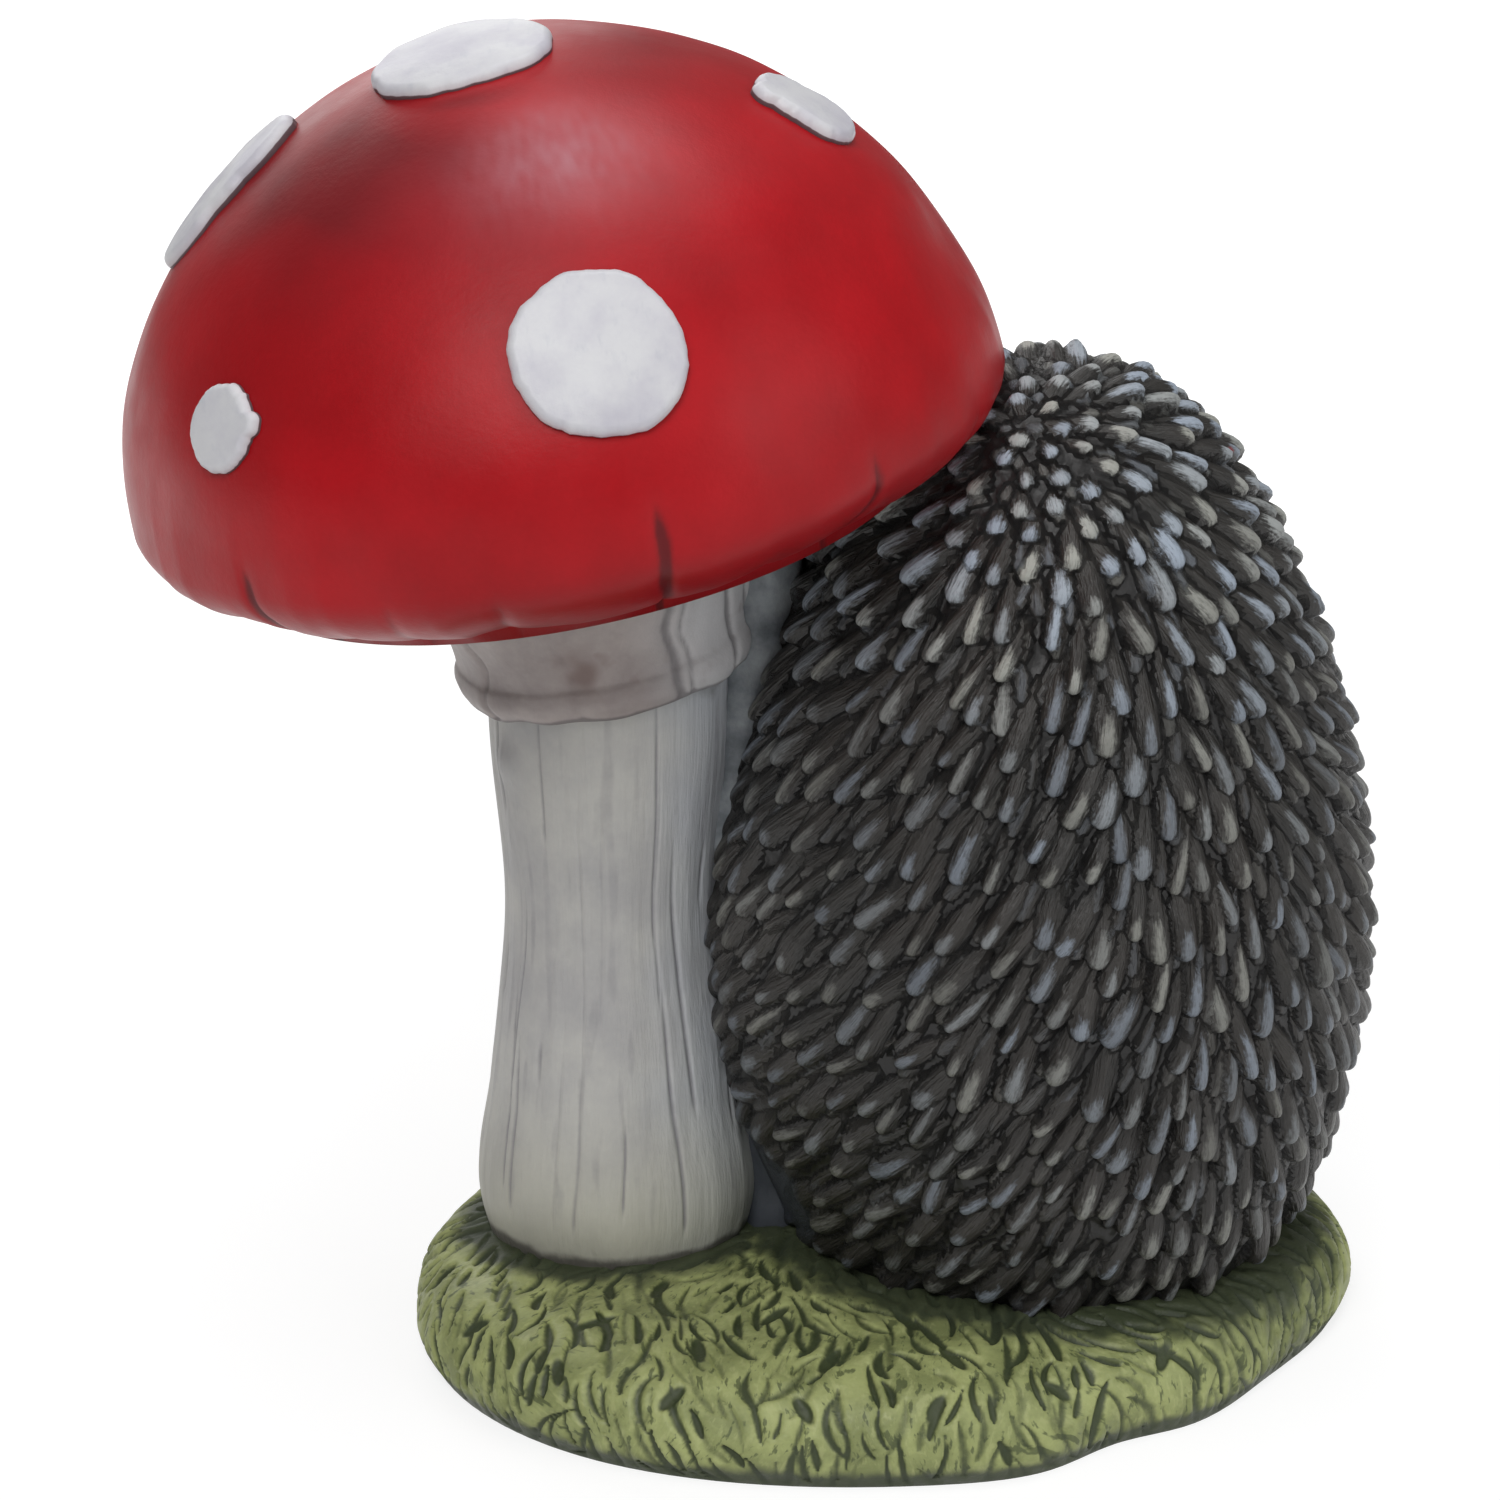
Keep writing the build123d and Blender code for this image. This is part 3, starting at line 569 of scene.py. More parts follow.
def makeGrassMound():
    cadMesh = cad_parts["grass_base"].data
    tree = BVHTree.FromPolygons([v.co for v in cadMesh.vertices], [p.vertices for p in cadMesh.polygons])
    _, high = (np.array(corner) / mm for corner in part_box("grass_base"))
    turns = np.linspace(0, 2 * math.pi, grassMound["columns"], endpoint=False)
    outline = []
    for turn in turns:
        ray = Vector((math.cos(turn), math.sin(turn), 0))
        start = ray * 2 * high.max() * mm + Vector((0, 0, grassMound["outlineHeight"] * mm))
        outline.append(tree.ray_cast(start, -ray)[0].to_2d().length / mm)
    outline = np.array(outline)
    middleReach = outline.mean()
    # rows run from the middle of the top out to the edge, down the side and in below
    profile = np.array(grassMound["profileShares"])
    knots = np.arange(len(profile))
    topRows, sideRows = grassMound["rows"]
    steps = np.concatenate([np.linspace(0.12, 2, topRows), np.linspace(2, 6, sideRows)[1:]])
    shares = np.minimum(smoothLine(knots, profile[:, 0], steps), 1)
    shares[-1] = profile[-1, 0]
    heights = np.clip(smoothLine(knots, profile[:, 1], steps) * high[2], 0, high[2])
    rays = np.stack([np.cos(turns), np.sin(turns)], 1)
    flat = shares[:, None, None] * (outline[:, None] * rays)[None]
    points = np.concatenate([flat, np.broadcast_to(heights[:, None, None], flat.shape[:2] + (1,))], 2)
    points = points.reshape(-1, 3)
    # the same points unrolled, so that what is laid on them keeps its size down the side
    fall = np.concatenate([[0], np.cumsum(np.hypot(np.diff(shares) * middleReach, np.diff(heights)))])
    unrolled = (fall[:, None, None] + shares[0] * middleReach) * rays[None] * (outline / middleReach)[:, None]
    sheet = np.concatenate([unrolled.reshape(-1, 2), np.zeros((len(points), 1))], 1)
    fanned = sheet - np.array([*grassMound["bladesFrom"], 0])
    flows = unit(fanned)
    drop = np.gradient(heights)
    slope = np.clip(drop / np.hypot(drop, np.gradient(shares) * middleReach), -1, 0)
    lean = np.repeat(-slope, len(turns))[:, None]
    outward = np.concatenate([np.tile(rays, (len(steps), 1)), np.zeros((len(points), 1))], 1)
    normals = unit(outward * lean + np.array([0, 0, 1]) * np.sqrt(np.clip(1 - lean ** 2, 0, 1)))
    groove = np.maximum(cutGrass(sheet, flows), frameGrooves(tree, points, normals))
    lumps = softNoise(points, 11, 2) * 0.7 + softNoise(points, 4, 3) * 0.35
    relief = (lumps - 0.55) * grassMound["lumps"] - groove * grassMound["grooveDepth"]
    shaped = points + normals * (relief * smoothStep(0.0, 1.6, points[:, 2]))[:, None]
    shaped[:, 2] = np.clip(shaped[:, 2], 0, high[2])
    # darkening: painted shade with a dark wash round the stem's foot and the hedgehog, and dark paint along
    # the bottom edge
    wash = 1.35 - points[:, 2] / 2.4
    for middle, ring in ((stemMiddle(), "stemWashAndShade"), (bodyAxis[:2], "bodyWashAndShade")):
        radius, reach = grassMound[ring]
        gap = np.linalg.norm(points[:, :2] - middle, axis=1) - radius
        wash = np.maximum(wash, 1.15 - gap / reach)
    wash = np.clip(wash + 0.25 * softNoise(points, 3, 8), 0, 1.2)
    # places along and across the blades, for the brush strokes between the grooves
    bladeTurn = np.arctan2(flows[:, 1], flows[:, 0]) + 0.16 * softNoise(points, 14, 16)
    bladeReach = np.linalg.norm(fanned, axis=1)
    blade = np.stack([bladeTurn * 32, bladeReach, 0.3 * bladeReach], 1)
    top = points[:len(turns)].mean(0)
    top[2] = shaped[:len(turns), 2].mean()
    mound = newPiece("grassMound", np.concatenate([[top], shaped, [[0, 0, 0]]]),
                     turnedFaces(len(steps), len(turns), flip=True), makeGrassMaterial(),
                     ["grass_base"],
                     {"groove": padEnds(groove), "wash": padEnds(wash),
                      "blade": np.concatenate([blade[:1], blade, blade[:1]])})
    thinOut(mound, grassMound["triangles"])


# TOADSTOOL CAP with its raised spots. Patches are a bearing and its width, an angle from the dome's
# top and its reach, in degrees, and a strength.
capShape = {
    "centre": (-36.9, 9.2, 108.9),
    "sideLean": 11.6,
    "frontLean": 3.1,
    "radius": 50.8,
    "rise": 45.9,
    "curlDepth": 11.9,
    "curlRadius": 22.9,
    "lipRadius": 39.6,
    "fullness": 1.85,
    "floorDepth": 3.4,
    "columns": 420,
    "domeRows": 112,
    "curlRows": 30,
    "lumps": 0.45,
    "scallops": 1.0,
    "creases": [(-86.3, 9.5, 0.5), (-56.5, 7.0, 0.35), (-141.5, 7.5, 0.45), (-108.0, 4.0, 0.2),
                (-122.0, 4.5, 0.2), (-33.0, 4.0, 0.2), (152.0, 8.0, 0.4), (60.0, 8.5, 0.4),
                (101.0, 6.0, 0.3), (12.0, 6.5, 0.3)],
    "dent": (-16, 15, 73, 8, 1.3),
    "crownShadePatch": (-140, 42, 34, 17, 0.85),
    "shadePatches": [(-25, 48, 20, 13, 0.5), (-108, 24, 21.5, 2.6, 0.6)],
    "highlight": (-84, 17, 36, 8),
    "paint": (srgb(182, 12, 24), srgb(160, 8, 18)),
    "rimColour": srgb(112, 10, 18),
    "crownShadeColour": srgb(92, 14, 20),
    "highlightColour": srgb(176, 112, 122),
    "creaseColour": srgb(74, 14, 20),
}
# Each spot: its bearing, its angle from the dome's top, its radius, and the round blobs that make
# its outline, as shares of the radius: sideways, upward, blob radius
capSpots = {
    "rise": 1.15,
    "edge": 1.0,
    "sink": 1.3,
    "columns": 120,
    "paint": (srgb(216, 216, 219), srgb(196, 194, 204)),
    "streakColour": srgb(186, 188, 198),
    "skirtColour": srgb(72, 40, 46),
    "places": {
        "crown": (-118.0, 8.0, 10.3, [(-0.12, 0.0, 0.9), (0.22, 0.05, 0.8)]),
        "front": (-88.7, 65.0, 9.4, [(0.0, 0.02, 0.98), (0.13, -0.1, 0.88)]),
        "left": (-144.0, 69.5, 5.2, [(0.0, 0.0, 0.95), (0.85, 0.15, 0.28)]),
        "upper_right": (-20.5, 46.5, 6.1, [(0.0, 0.24, 0.8), (0.05, -0.2, 0.86), (-0.5, 0.72, 0.3)]),
        "far_left": (171.0, 42.0, 9.0, [(0.0, 0.5, 0.74), (-0.04, 0.05, 0.86), (0.06, -0.42, 0.8)]),
        "back": (92.0, 60.0, 8.4, [(0.0, 0.02, 0.98), (0.13, -0.1, 0.88)]),
        "back_left": (131.0, 70.0, 4.8, [(0.0, 0.0, 1.0)]),
        "back_right": (48.0, 46.0, 6.0, [(0.0, 0.24, 0.8), (0.05, -0.2, 0.86)]),
    },
}
capTurn = np.array(Matrix.Rotation(math.radians(capShape["frontLean"]), 3, "X")
                   @ Matrix.Rotation(math.radians(-capShape["sideLean"]), 3, "Y"))


def fromCap(points):
    return points @ capTurn.T + np.array(capShape["centre"])


# Moves points out or in along their rays until they lie on the dome, and gives the dome's normals
def onDome(points):
    across = np.linalg.norm(points[:, :2], axis=1)
    power = capShape["fullness"]
    closeness = (across / capShape["radius"]) ** power + (np.abs(points[:, 2]) / capShape["rise"]) ** power
    seated = points * (closeness ** (-1 / power))[:, None]
    across = np.maximum(np.linalg.norm(seated[:, :2], axis=1), 1e-6)
    leanAcross = (across / capShape["radius"]) ** (power - 1) / capShape["radius"]
    leanUp = (np.maximum(seated[:, 2], 1e-6) / capShape["rise"]) ** (power - 1) / capShape["rise"]
    normals = np.concatenate([seated[:, :2] / across[:, None] * leanAcross[:, None], leanUp[:, None]], 1)
    return seated, unit(normals)


def makeCapMaterial():
    paint = Paint("capPaint", specular=0.22, coat=0.08, coatRoughness=0.3)
    base = paint.base(*capShape["paint"], cloudScale=45.0, stippleScale=1500.0, stipple=0.55)
    rim = paint.tint("rimShade", base, capShape["rimColour"])
    # painted shade on the dome's top
    crownShaded = paint.tint("crownShade", rim, capShape["crownShadeColour"])
    # painted highlight, pale and streaked, high on the dome
    crown = paint.tint("highlight", crownShaded, capShape["highlightColour"])
    deep = paint.wash(crown, capShape["creaseColour"], paint.attribute("crease"),
                      amount=0.8, unevenness=0.25, scale=700.0)
    return paint.finish(deep, (0.25, 0.75, 0.36, 0.5), (1100.0, 0.35, 0.5), 0.00012)


def makeCap():
    radius, rise, lip = capShape["radius"], capShape["rise"], capShape["lipRadius"]
    curlRadius, curlDepth, floorDepth = capShape["curlRadius"], capShape["curlDepth"], capShape["floorDepth"]
    curl = radius - curlRadius
    power = 2 / capShape["fullness"]
    domeTurns = np.linspace(math.pi / 2, 0, capShape["domeRows"])[1:]
    lipTurn = math.acos((lip - curlRadius) / curl)
    curlTurns = np.linspace(0, lipTurn, capShape["curlRows"])[1:]
    lipDrop = curlDepth * math.sin(lipTurn)
    recess = np.array([(lip - 0.4, 0.3 - lipDrop), (lip - 0.5, 1.2 - lipDrop), (lip - 0.5, -floorDepth),
                       (lip / 2, -floorDepth)])
    radii = np.concatenate([radius * np.cos(domeTurns) ** power, curlRadius + curl * np.cos(curlTurns),
                            recess[:, 0]])
    heights = np.concatenate([rise * np.sin(domeTurns) ** power, -curlDepth * np.sin(curlTurns),
                              recess[:, 1]])
    turns = np.linspace(-math.pi, math.pi, capShape["columns"], endpoint=False)
    points = turnedPoints(radii, heights, turns)
    turn = np.tile(turns, len(radii))
    rays = np.stack([np.cos(turn), np.sin(turn), np.zeros(len(turn))], 1)
    across = np.linalg.norm(points[:, :2], axis=1)
    _, domeNormals = onDome(np.stack([points[:, 0], points[:, 1], np.maximum(points[:, 2], 0.01)], 1))
    curlNormals = unit(rays * (np.maximum(across - curlRadius, 0) / curl ** 2)[:, None]
                       + np.outer(points[:, 2] / curlDepth ** 2, [0, 0, 1]))
    normals = np.where(points[:, 2:] < 0, curlNormals, domeNormals)
    polar = np.degrees(np.arctan2(across, points[:, 2]))
    bearing = np.degrees(turn)

    def patch(middle, width, top, reach, strength):
        return strength * bell(bearingGap(bearing, middle), width) * bell(polar - top, reach)

    # lumps of hand modelling, fading at the rim, where scallops take over
    relief = (softNoise(points, 26, 1) - 0.5) * capShape["lumps"] + softNoise(points, 9, 4) * 0.14
    rimWave = softNoise(rays * 50, 8, 6)
    relief -= smoothStep(74, 92, polar) * (0.35 + np.abs(rimWave) ** 0.7 * 0.3)
    crease = np.zeros(len(points))
    for creaseTurn, length, depth in capShape["creases"]:
        wander = 1.6 * softNoise(points / 9, 1, creaseTurn / 10)
        gap = np.radians(bearingGap(bearing, creaseTurn) + wander) * radius
        start = 92 - np.degrees(length / radius)
        along = smoothStep(start, start + 7, polar)
        line = bell(gap, 0.75) * along
        relief -= depth * line + 0.25 * bell(gap, 3.2) * along
        crease = np.maximum(crease, line * depth * 2)
    relief -= patch(*capShape["dent"])
    outside = np.arange(len(points)) < (len(radii) - len(recess) - 1) * len(turns)
    shaped = points + normals * (relief * outside)[:, None]
    lower = smoothStep(0, curlDepth, -points[:, 2]) * outside
    shaped[:, 2] += lower * capShape["scallops"] * (rimWave + 0.25)
    rimShade = np.clip(smoothStep(84, 100, polar) * 0.75 + 0.12 * softNoise(points, 6, 9), 0, 1) * 0.6
    # painted shade: darker patches on the dome's top-left and in a band beside the crown spot
    crownShade = np.clip(patch(*capShape["crownShadePatch"]) * (1 + 0.4 * softNoise(points, 7, 12)), 0, 0.75)
    for shadePatch in capShape["shadePatches"]:
        crownShade = np.maximum(crownShade, patch(*shadePatch))
    # painted highlight: a pale streaked patch high on the dome's front
    highlightTurn, highlightWidth, highlightTop, highlightReach = capShape["highlight"]
    highlightGap = np.hypot(bearingGap(bearing, highlightTurn) / highlightWidth, (polar - highlightTop) / highlightReach)
    streaked = 1 + 0.5 * softNoise(points, 4, 15) + 0.6 * softNoise(points * np.array([1, 0.4, 0.4]), 0.9, 19)
    highlight = 0.5 * bell(highlightGap, 1.0) * streaked + 0.12 * bell(highlightGap, 2.2)
    shades = {"crease": crease, "rimShade": rimShade, "crownShade": crownShade, "highlight": np.clip(highlight, 0, 1)}
    newPiece("toadstoolCap", fromCap(np.concatenate([[[0, 0, rise - 0.25]], shaped, [[0, 0, -floorDepth]]])),
             turnedFaces(len(radii), len(turns), flip=True), makeCapMaterial(), ["mushroom_cap"],
             {name: padEnds(values, values[0]) for name, values in shades.items()})


def makeSpotMaterial():
    paint = Paint("spotPaint", coat=0.1, coatRoughness=0.35)
    base = paint.base(*capSpots["paint"], cloudScale=130.0, stippleScale=1300.0, stipple=0.3)
    streaks = paint.streaks(paint.place(), (900.0, 260.0, 500.0))
    shade = paint.mix(paint.ramp(streaks, 0.55, 0.8, 0.0, 0.35), base, capSpots["streakColour"])
    edge = paint.wash(shade, capSpots["skirtColour"], paint.attribute("skirt"),
                      amount=0.9, unevenness=0.5, scale=900.0)
    return paint.finish(edge, 0.45, (900.0, 0.4, 0.6), 0.00015)


def makeSpots():
    material = makeSpotMaterial()
    columns = capSpots["columns"]
    rings = np.concatenate([np.linspace(0, 0.8, 14)[1:], 1 - 0.2 * np.linspace(1, 0, 20)[1:] ** 2])
    turns = np.linspace(0, 2 * math.pi, columns, endpoint=False)
    rays = np.stack([np.cos(turns), np.sin(turns)], 1)
    for number, (name, spot) in enumerate(capSpots["places"].items()):
        azimuth, polar, radius, blobs = spot
        turn, tilt = math.radians(azimuth), math.radians(polar)
        ray = [math.cos(turn) * math.sin(tilt), math.sin(turn) * math.sin(tilt), math.cos(tilt)]
        seat, normal = (found[0] for found in onDome(np.array([ray])))
        sideways = np.array([-math.sin(turn), math.cos(turn), 0])
        upward = np.cross(normal, sideways)
        reach = np.zeros(columns)  # how far the outline lies from the spot's middle, each way
        for sideShare, upShare, blobShare in blobs:
            centre = np.array([sideShare, upShare]) * radius
            toward = rays @ centre
            inside = (blobShare * radius) ** 2 - (centre ** 2).sum() + toward ** 2
            reach = np.maximum(reach, np.where(inside > 0, toward + np.sqrt(np.maximum(inside, 0)), 0))
        level = np.full((columns, 1), number * 4.0)
        wave, nick = (softNoise(np.concatenate([rays * size, level], 1), 1, seed)
                      for size, seed in ((3, 3), (9, 5)))
        reach = reach * (1 + 0.035 * wave) + 0.16 * nick - 0.15
        flatPoints = (rings[:, None, None] * (reach[:, None] * rays)[None]).reshape(-1, 2)
        edgeGap = ((1 - rings)[:, None] * reach[None]).ravel()
        edgeShare = np.clip(edgeGap / capSpots["edge"], 0, 1)
        rise = capSpots["rise"] * (np.sqrt(1 - (1 - edgeShare) ** 2) * 0.92 + 0.08)
        seated, normals = onDome(seat + flatPoints @ np.stack([sideways, upward]))
        rise = rise + softNoise(seated, 5, number) * 0.16 * edgeShare - 0.12 * (1 - edgeShare)
        body = seated + normals * rise[:, None]
        skirt = seated[-columns:] - normals[-columns:] * capSpots["sink"]
        middle, middleNormal = onDome(seat[None])
        points = np.concatenate([middle + middleNormal * capSpots["rise"], body, skirt,
                                 middle - middleNormal * capSpots["sink"]])
        depth = np.concatenate([[0], 1.0 - edgeShare * 28.0, np.ones(columns + 1)])
        newPiece(f"capSpot_{name}", fromCap(points), turnedFaces(len(rings) + 1, columns, flip=True),
                 material, [f"cap_spot_{name}"], {"skirt": np.clip(depth, 0, 1)})


# STEM, its ring, the webs beside it and the gills
stemShape = {
    "heights": [5.0, 7.0, 15.0, 30.0, 52.0, 74.0, 84.0, 104.0],
    "radii": [13.6, 14.6, 17.0, 15.4, 13.1, 14.6, 14.8, 14.8],
    "columns": 600,
    "rows": 150,
    "lines": 60,
    "lineSeed": 4,
    "lineDepth": 0.35,
    "lineStart": (10, 66),
    "lineLength": (8, 42),
    "lineSlant": (-0.05, 0.05),
    "lineWidth": (0.16, 0.34),
    "bump": (-2.75, 71, 2.2, 0.7),
    "paint": (srgb(200, 199, 194), srgb(178, 177, 177)),
    "coolColour": srgb(202, 208, 216),
    "warmColour": srgb(186, 184, 164),
    "lineColour": srgb(118, 114, 124),
    "footAndRingShadeColour": srgb(78, 74, 70),
}
ringShape = {
    "height": 81.0,
    "profile": [(13.0, -0.3), (15.6, -0.5), (17.2, -0.1), (18.0, 0.9), (18.3, 2.0), (18.1, 3.2), (17.7, 4.2),
                (17.9, 6.0), (18.7, 9.0), (19.9, 13.0), (20.0, 16.5)],
    "columns": 300,
    "rows": 56,
    "stain": (-108.0, 6.0),
    "folds": [(-72.0, 1.5, 0.45), (-66.0, 0.8, 0.35), (-44.0, 1.1, 0.6), (-30.0, 0.9, 0.5),
              (-112.0, 1.2, 0.15), (-150.0, 1.0, 0.3), (160.0, 1.3, 0.4), (118.0, 1.0, 0.5),
              (84.0, 1.6, 0.35), (47.0, 1.0, 0.5), (10.0, 1.2, 0.4)],
    "paint": (srgb(178, 168, 165), srgb(152, 142, 140)),
    "coolColour": srgb(206, 208, 211),
    "stainColour": srgb(108, 84, 78),
    "foldColour": srgb(84, 80, 84),
}
# Webs of resin that close the narrow gaps between the stem and the coat: two ends and a radius each. Their
# grey-blue paint darkens into painted shade low down, so the low web shows as a dark plug in the shaded gap.
webShape = {
    "webs": {
        "neck": ((-18.5, 4.0, 62.0), (-14.5, 4.0, 103.0), 5.0),
        "foot": ((-13.8, 2.6, 10.0), (-15.0, 3.2, 22.0), 3.4),
    },
    "voxel": 0.4,
    "shadeHeight": (34.0, 58.0),
    "paint": (srgb(160, 166, 170), srgb(96, 102, 108)),
    "shadeColour": srgb(66, 70, 78),
}
gillShape = {
    "count": 84,
    "depth": 3.2,
    "innerRadius": 17.0,
    "plate": 2.4,
    "rows": 26,
    "paint": (srgb(196, 188, 172), srgb(168, 158, 142)),
    "grooveColour": srgb(72, 62, 56),
}


def makeStemMaterial():
    paint = Paint("stemPaint")
    base = paint.base(*stemShape["paint"], cloudScale=90.0, stippleScale=1300.0, stipple=0.4)
    cool = paint.tint("coolShade", base, stemShape["coolColour"])
    warm = paint.tint("lowShade", cool, stemShape["warmColour"])
    lines = paint.wash(warm, stemShape["lineColour"], paint.attribute("groove"),
                       amount=0.62, unevenness=0.5, scale=260.0)
    # painted shade at the stem's foot and just under the ring
    footAndRingShade = paint.wash(lines, stemShape["footAndRingShadeColour"], paint.attribute("footAndRingShade"),
                      amount=0.85, unevenness=0.5, scale=420.0)
    fibres = paint.streaks(paint.place(), (1500.0, 1500.0, 90.0))
    return paint.finish(footAndRingShade, 0.5, (900.0, 0.3, 0.3), 0.0002, paint.maths("MULTIPLY", fibres, 0.8))


def makeStem():
    middle = stemMiddle()
    turns = np.linspace(-math.pi, math.pi, stemShape["columns"], endpoint=False)
    heights = np.linspace(stemShape["heights"][0], stemShape["heights"][-1], stemShape["rows"])
    points = turnedPoints(smoothLine(stemShape["heights"], stemShape["radii"], heights), heights, turns)
    turn = np.tile(turns, len(heights))
    height = points[:, 2]
    # thin lines scored up the stem, each with its own place, length, slant and depth
    randoms = np.random.RandomState(stemShape["lineSeed"])
    groove = np.zeros(len(points))
    wander = 0.5 * softNoise(points * np.array([1, 1, 0.35]), 5, 1)
    for _ in range(stemShape["lines"]):
        lineTurn = randoms.uniform(-math.pi, math.pi)
        low = randoms.uniform(*stemShape["lineStart"])
        length = randoms.uniform(*stemShape["lineLength"])
        slant = randoms.uniform(*stemShape["lineSlant"])
        width = randoms.uniform(*stemShape["lineWidth"])
        apart = (turn - lineTurn + math.pi) % (2 * math.pi) - math.pi
        gap = apart * 15 + slant * (height - low) + wander
        ends = smoothStep(low, low + 3, height) * smoothStep(low + length, low + length * 0.6, height)
        groove = np.maximum(groove, bell(gap, width) * ends * randoms.uniform(0.4, 1))
    drawn = points * np.array([1, 1, 0.03])
    relief = -0.25 - stemShape["lineDepth"] * groove + 0.3 * softNoise(drawn, 7, 3)
    relief += 0.14 * softNoise(drawn, 1.9, 2)
    bumpTurn, bumpHeight, bumpRadius, bumpRise = stemShape["bump"]
    relief += bumpRise * bell(np.hypot((turn - bumpTurn) * 14, height - bumpHeight), bumpRadius)
    streak = smoothStep(0.1, 0.6, softNoise(points * np.array([1, 1, 0.035]), 1.2, 25))
    groove = np.maximum(groove * 0.8, 0.36 * streak * smoothStep(12, 20, height))
    toBody = np.cos(turn - math.radians(-8))
    coolShade = smoothStep(0.1, 0.95, toBody + 0.2 * softNoise(points, 10, 6)) * 0.75
    lowShade = smoothStep(34, 12, height) * 0.6
    # painted shade with a dark wash at the stem's foot, where it meets the mound, and painted shade in a band
    # just under the ring
    footAndRingShade = np.maximum(1.1 - (height - 11) / 2.2, smoothStep(76, 82, height) * 0.35)
    footAndRingShade = np.clip(footAndRingShade + 0.25 * softNoise(points, 3, 7), 0, 1)
    shaped = points + unit(points * np.array([1, 1, 0])) * relief[:, None]
    shaped[:, :2] += middle
    shades = {"groove": groove, "coolShade": coolShade, "lowShade": lowShade, "footAndRingShade": footAndRingShade}
    newPiece("toadstoolStem", np.concatenate([[[*middle, heights[0]]], shaped, [[*middle, heights[-1]]]]),
             turnedFaces(len(heights), len(turns)), makeStemMaterial(), ["mushroom_stem"],
             {name: padEnds(values) for name, values in shades.items()})


def makeRingMaterial():
    paint = Paint("ringPaint")
    base = paint.base(*ringShape["paint"], cloudScale=120.0, stippleScale=1200.0, stipple=0.4)
    cool = paint.tint("coolShade", base, ringShape["coolColour"])
    patches = paint.ramp(paint.noise(paint.place(), 160.0), 0.58, 0.72, 0.0, 0.35)
    stained = paint.maths("MAXIMUM", patches, paint.attribute("stain"))
    brown = paint.mix(stained, cool, ringShape["stainColour"])
    folds = paint.wash(brown, ringShape["foldColour"], paint.attribute("groove"),
                       amount=0.6, unevenness=0.6, scale=400.0)
    return paint.finish(folds, 0.5, (800.0, 0.5, 0.6), 0.0002)


def makeRing():
    profile = np.array(ringShape["profile"])
    knots = np.arange(len(profile))
    steps = np.linspace(0, len(profile) - 1, ringShape["rows"])
    radii, heights = (smoothLine(knots, profile[:, i], steps) for i in range(2))
    turns = np.linspace(-math.pi, math.pi, ringShape["columns"], endpoint=False)
    points = turnedPoints(radii, heights, turns)
    height = points[:, 2]
    drawn = points * np.array([1, 1, 0.12])
    bearing = np.degrees(np.arctan2(points[:, 1], points[:, 0])) + 5 * softNoise(points, 5, 11)
    groove = np.zeros(len(points))
    relief = 0.4 * softNoise(points, 6, 12) + 0.15 * softNoise(drawn, 2.6, 14) - 0.25
    for foldTurn, width, depth in ringShape["folds"]:
        fold = bell(np.radians(bearingGap(bearing, foldTurn)) * 18, width * 0.5)
        groove = np.maximum(groove, fold * depth * 1.5)
        relief -= depth * fold
    shown = smoothStep(-0.5, 0.6, height)
    shaped = points + unit(points * np.array([1, 1, 0])) * (relief * shown)[:, None]
    shaped[:, 2] += 0.5 * softNoise(drawn, 5, 13) * smoothStep(6, 0, height)
    stainTurn, stainHeight = ringShape["stain"]
    stainGap = np.hypot(np.radians(bearing - stainTurn) * 18, (height - stainHeight) * 0.6)
    shades = {
        "groove": np.clip(groove + smoothStep(0.8, -0.3, height), 0, 1),
        "coolShade": 0.75 * smoothStep(-90, -55, bearing) * smoothStep(60, 20, bearing),
        "stain": 0.75 * bell(stainGap + softNoise(points, 2, 24), 1.7),
    }
    seat = np.array([*stemMiddle(), ringShape["height"]])
    allPoints = np.concatenate([[[0, 0, heights[0]]], shaped, [[0, 0, heights[-1]]]]) @ capTurn.T + seat
    newPiece("stemRing", allPoints, turnedFaces(len(radii), len(turns)), makeRingMaterial(),
             ["stem_ring"], {name: padEnds(values) for name, values in shades.items()})


def makeWebMaterial():
    paint = Paint("webPaint")
    base = paint.base(*webShape["paint"], cloudScale=160.0, stippleScale=1300.0, stipple=0.4)
    shaded = paint.tint("shade", base, webShape["shadeColour"])
    return paint.finish(shaded, 0.5, (800.0, 0.5, 0.6), 0.0002)


def makeWebs():
    material = makeWebMaterial()
    dark, light = webShape["shadeHeight"]
    for place, (low, high, radius) in webShape["webs"].items():
        drop = (np.array(low), np.array(high), radius, radius)
        points, normals, faces = fuseDrops(f"web_{place}", [drop], webShape["voxel"])
        lumps = 0.5 * softNoise(points, 4, 9)
        # painted shade: the webs darken toward their low ends
        newPiece(f"castingWeb_{place}", points + normals * lumps[:, None], faces, material,
                 attributes={"shade": 0.9 * smoothStep(light, dark, points[:, 2])})


def makeGillMaterial():
    paint = Paint("gillPaint", specular=0.35)
    base = paint.base(*gillShape["paint"], cloudScale=90.0, stippleScale=1200.0, stipple=0.3)
    deep = paint.wash(base, gillShape["grooveColour"], paint.attribute("groove"),
                      amount=0.9, unevenness=0.3, scale=500.0)
    return paint.finish(deep, 0.6, (900.0, 0.4, 0.4), 0.0002)


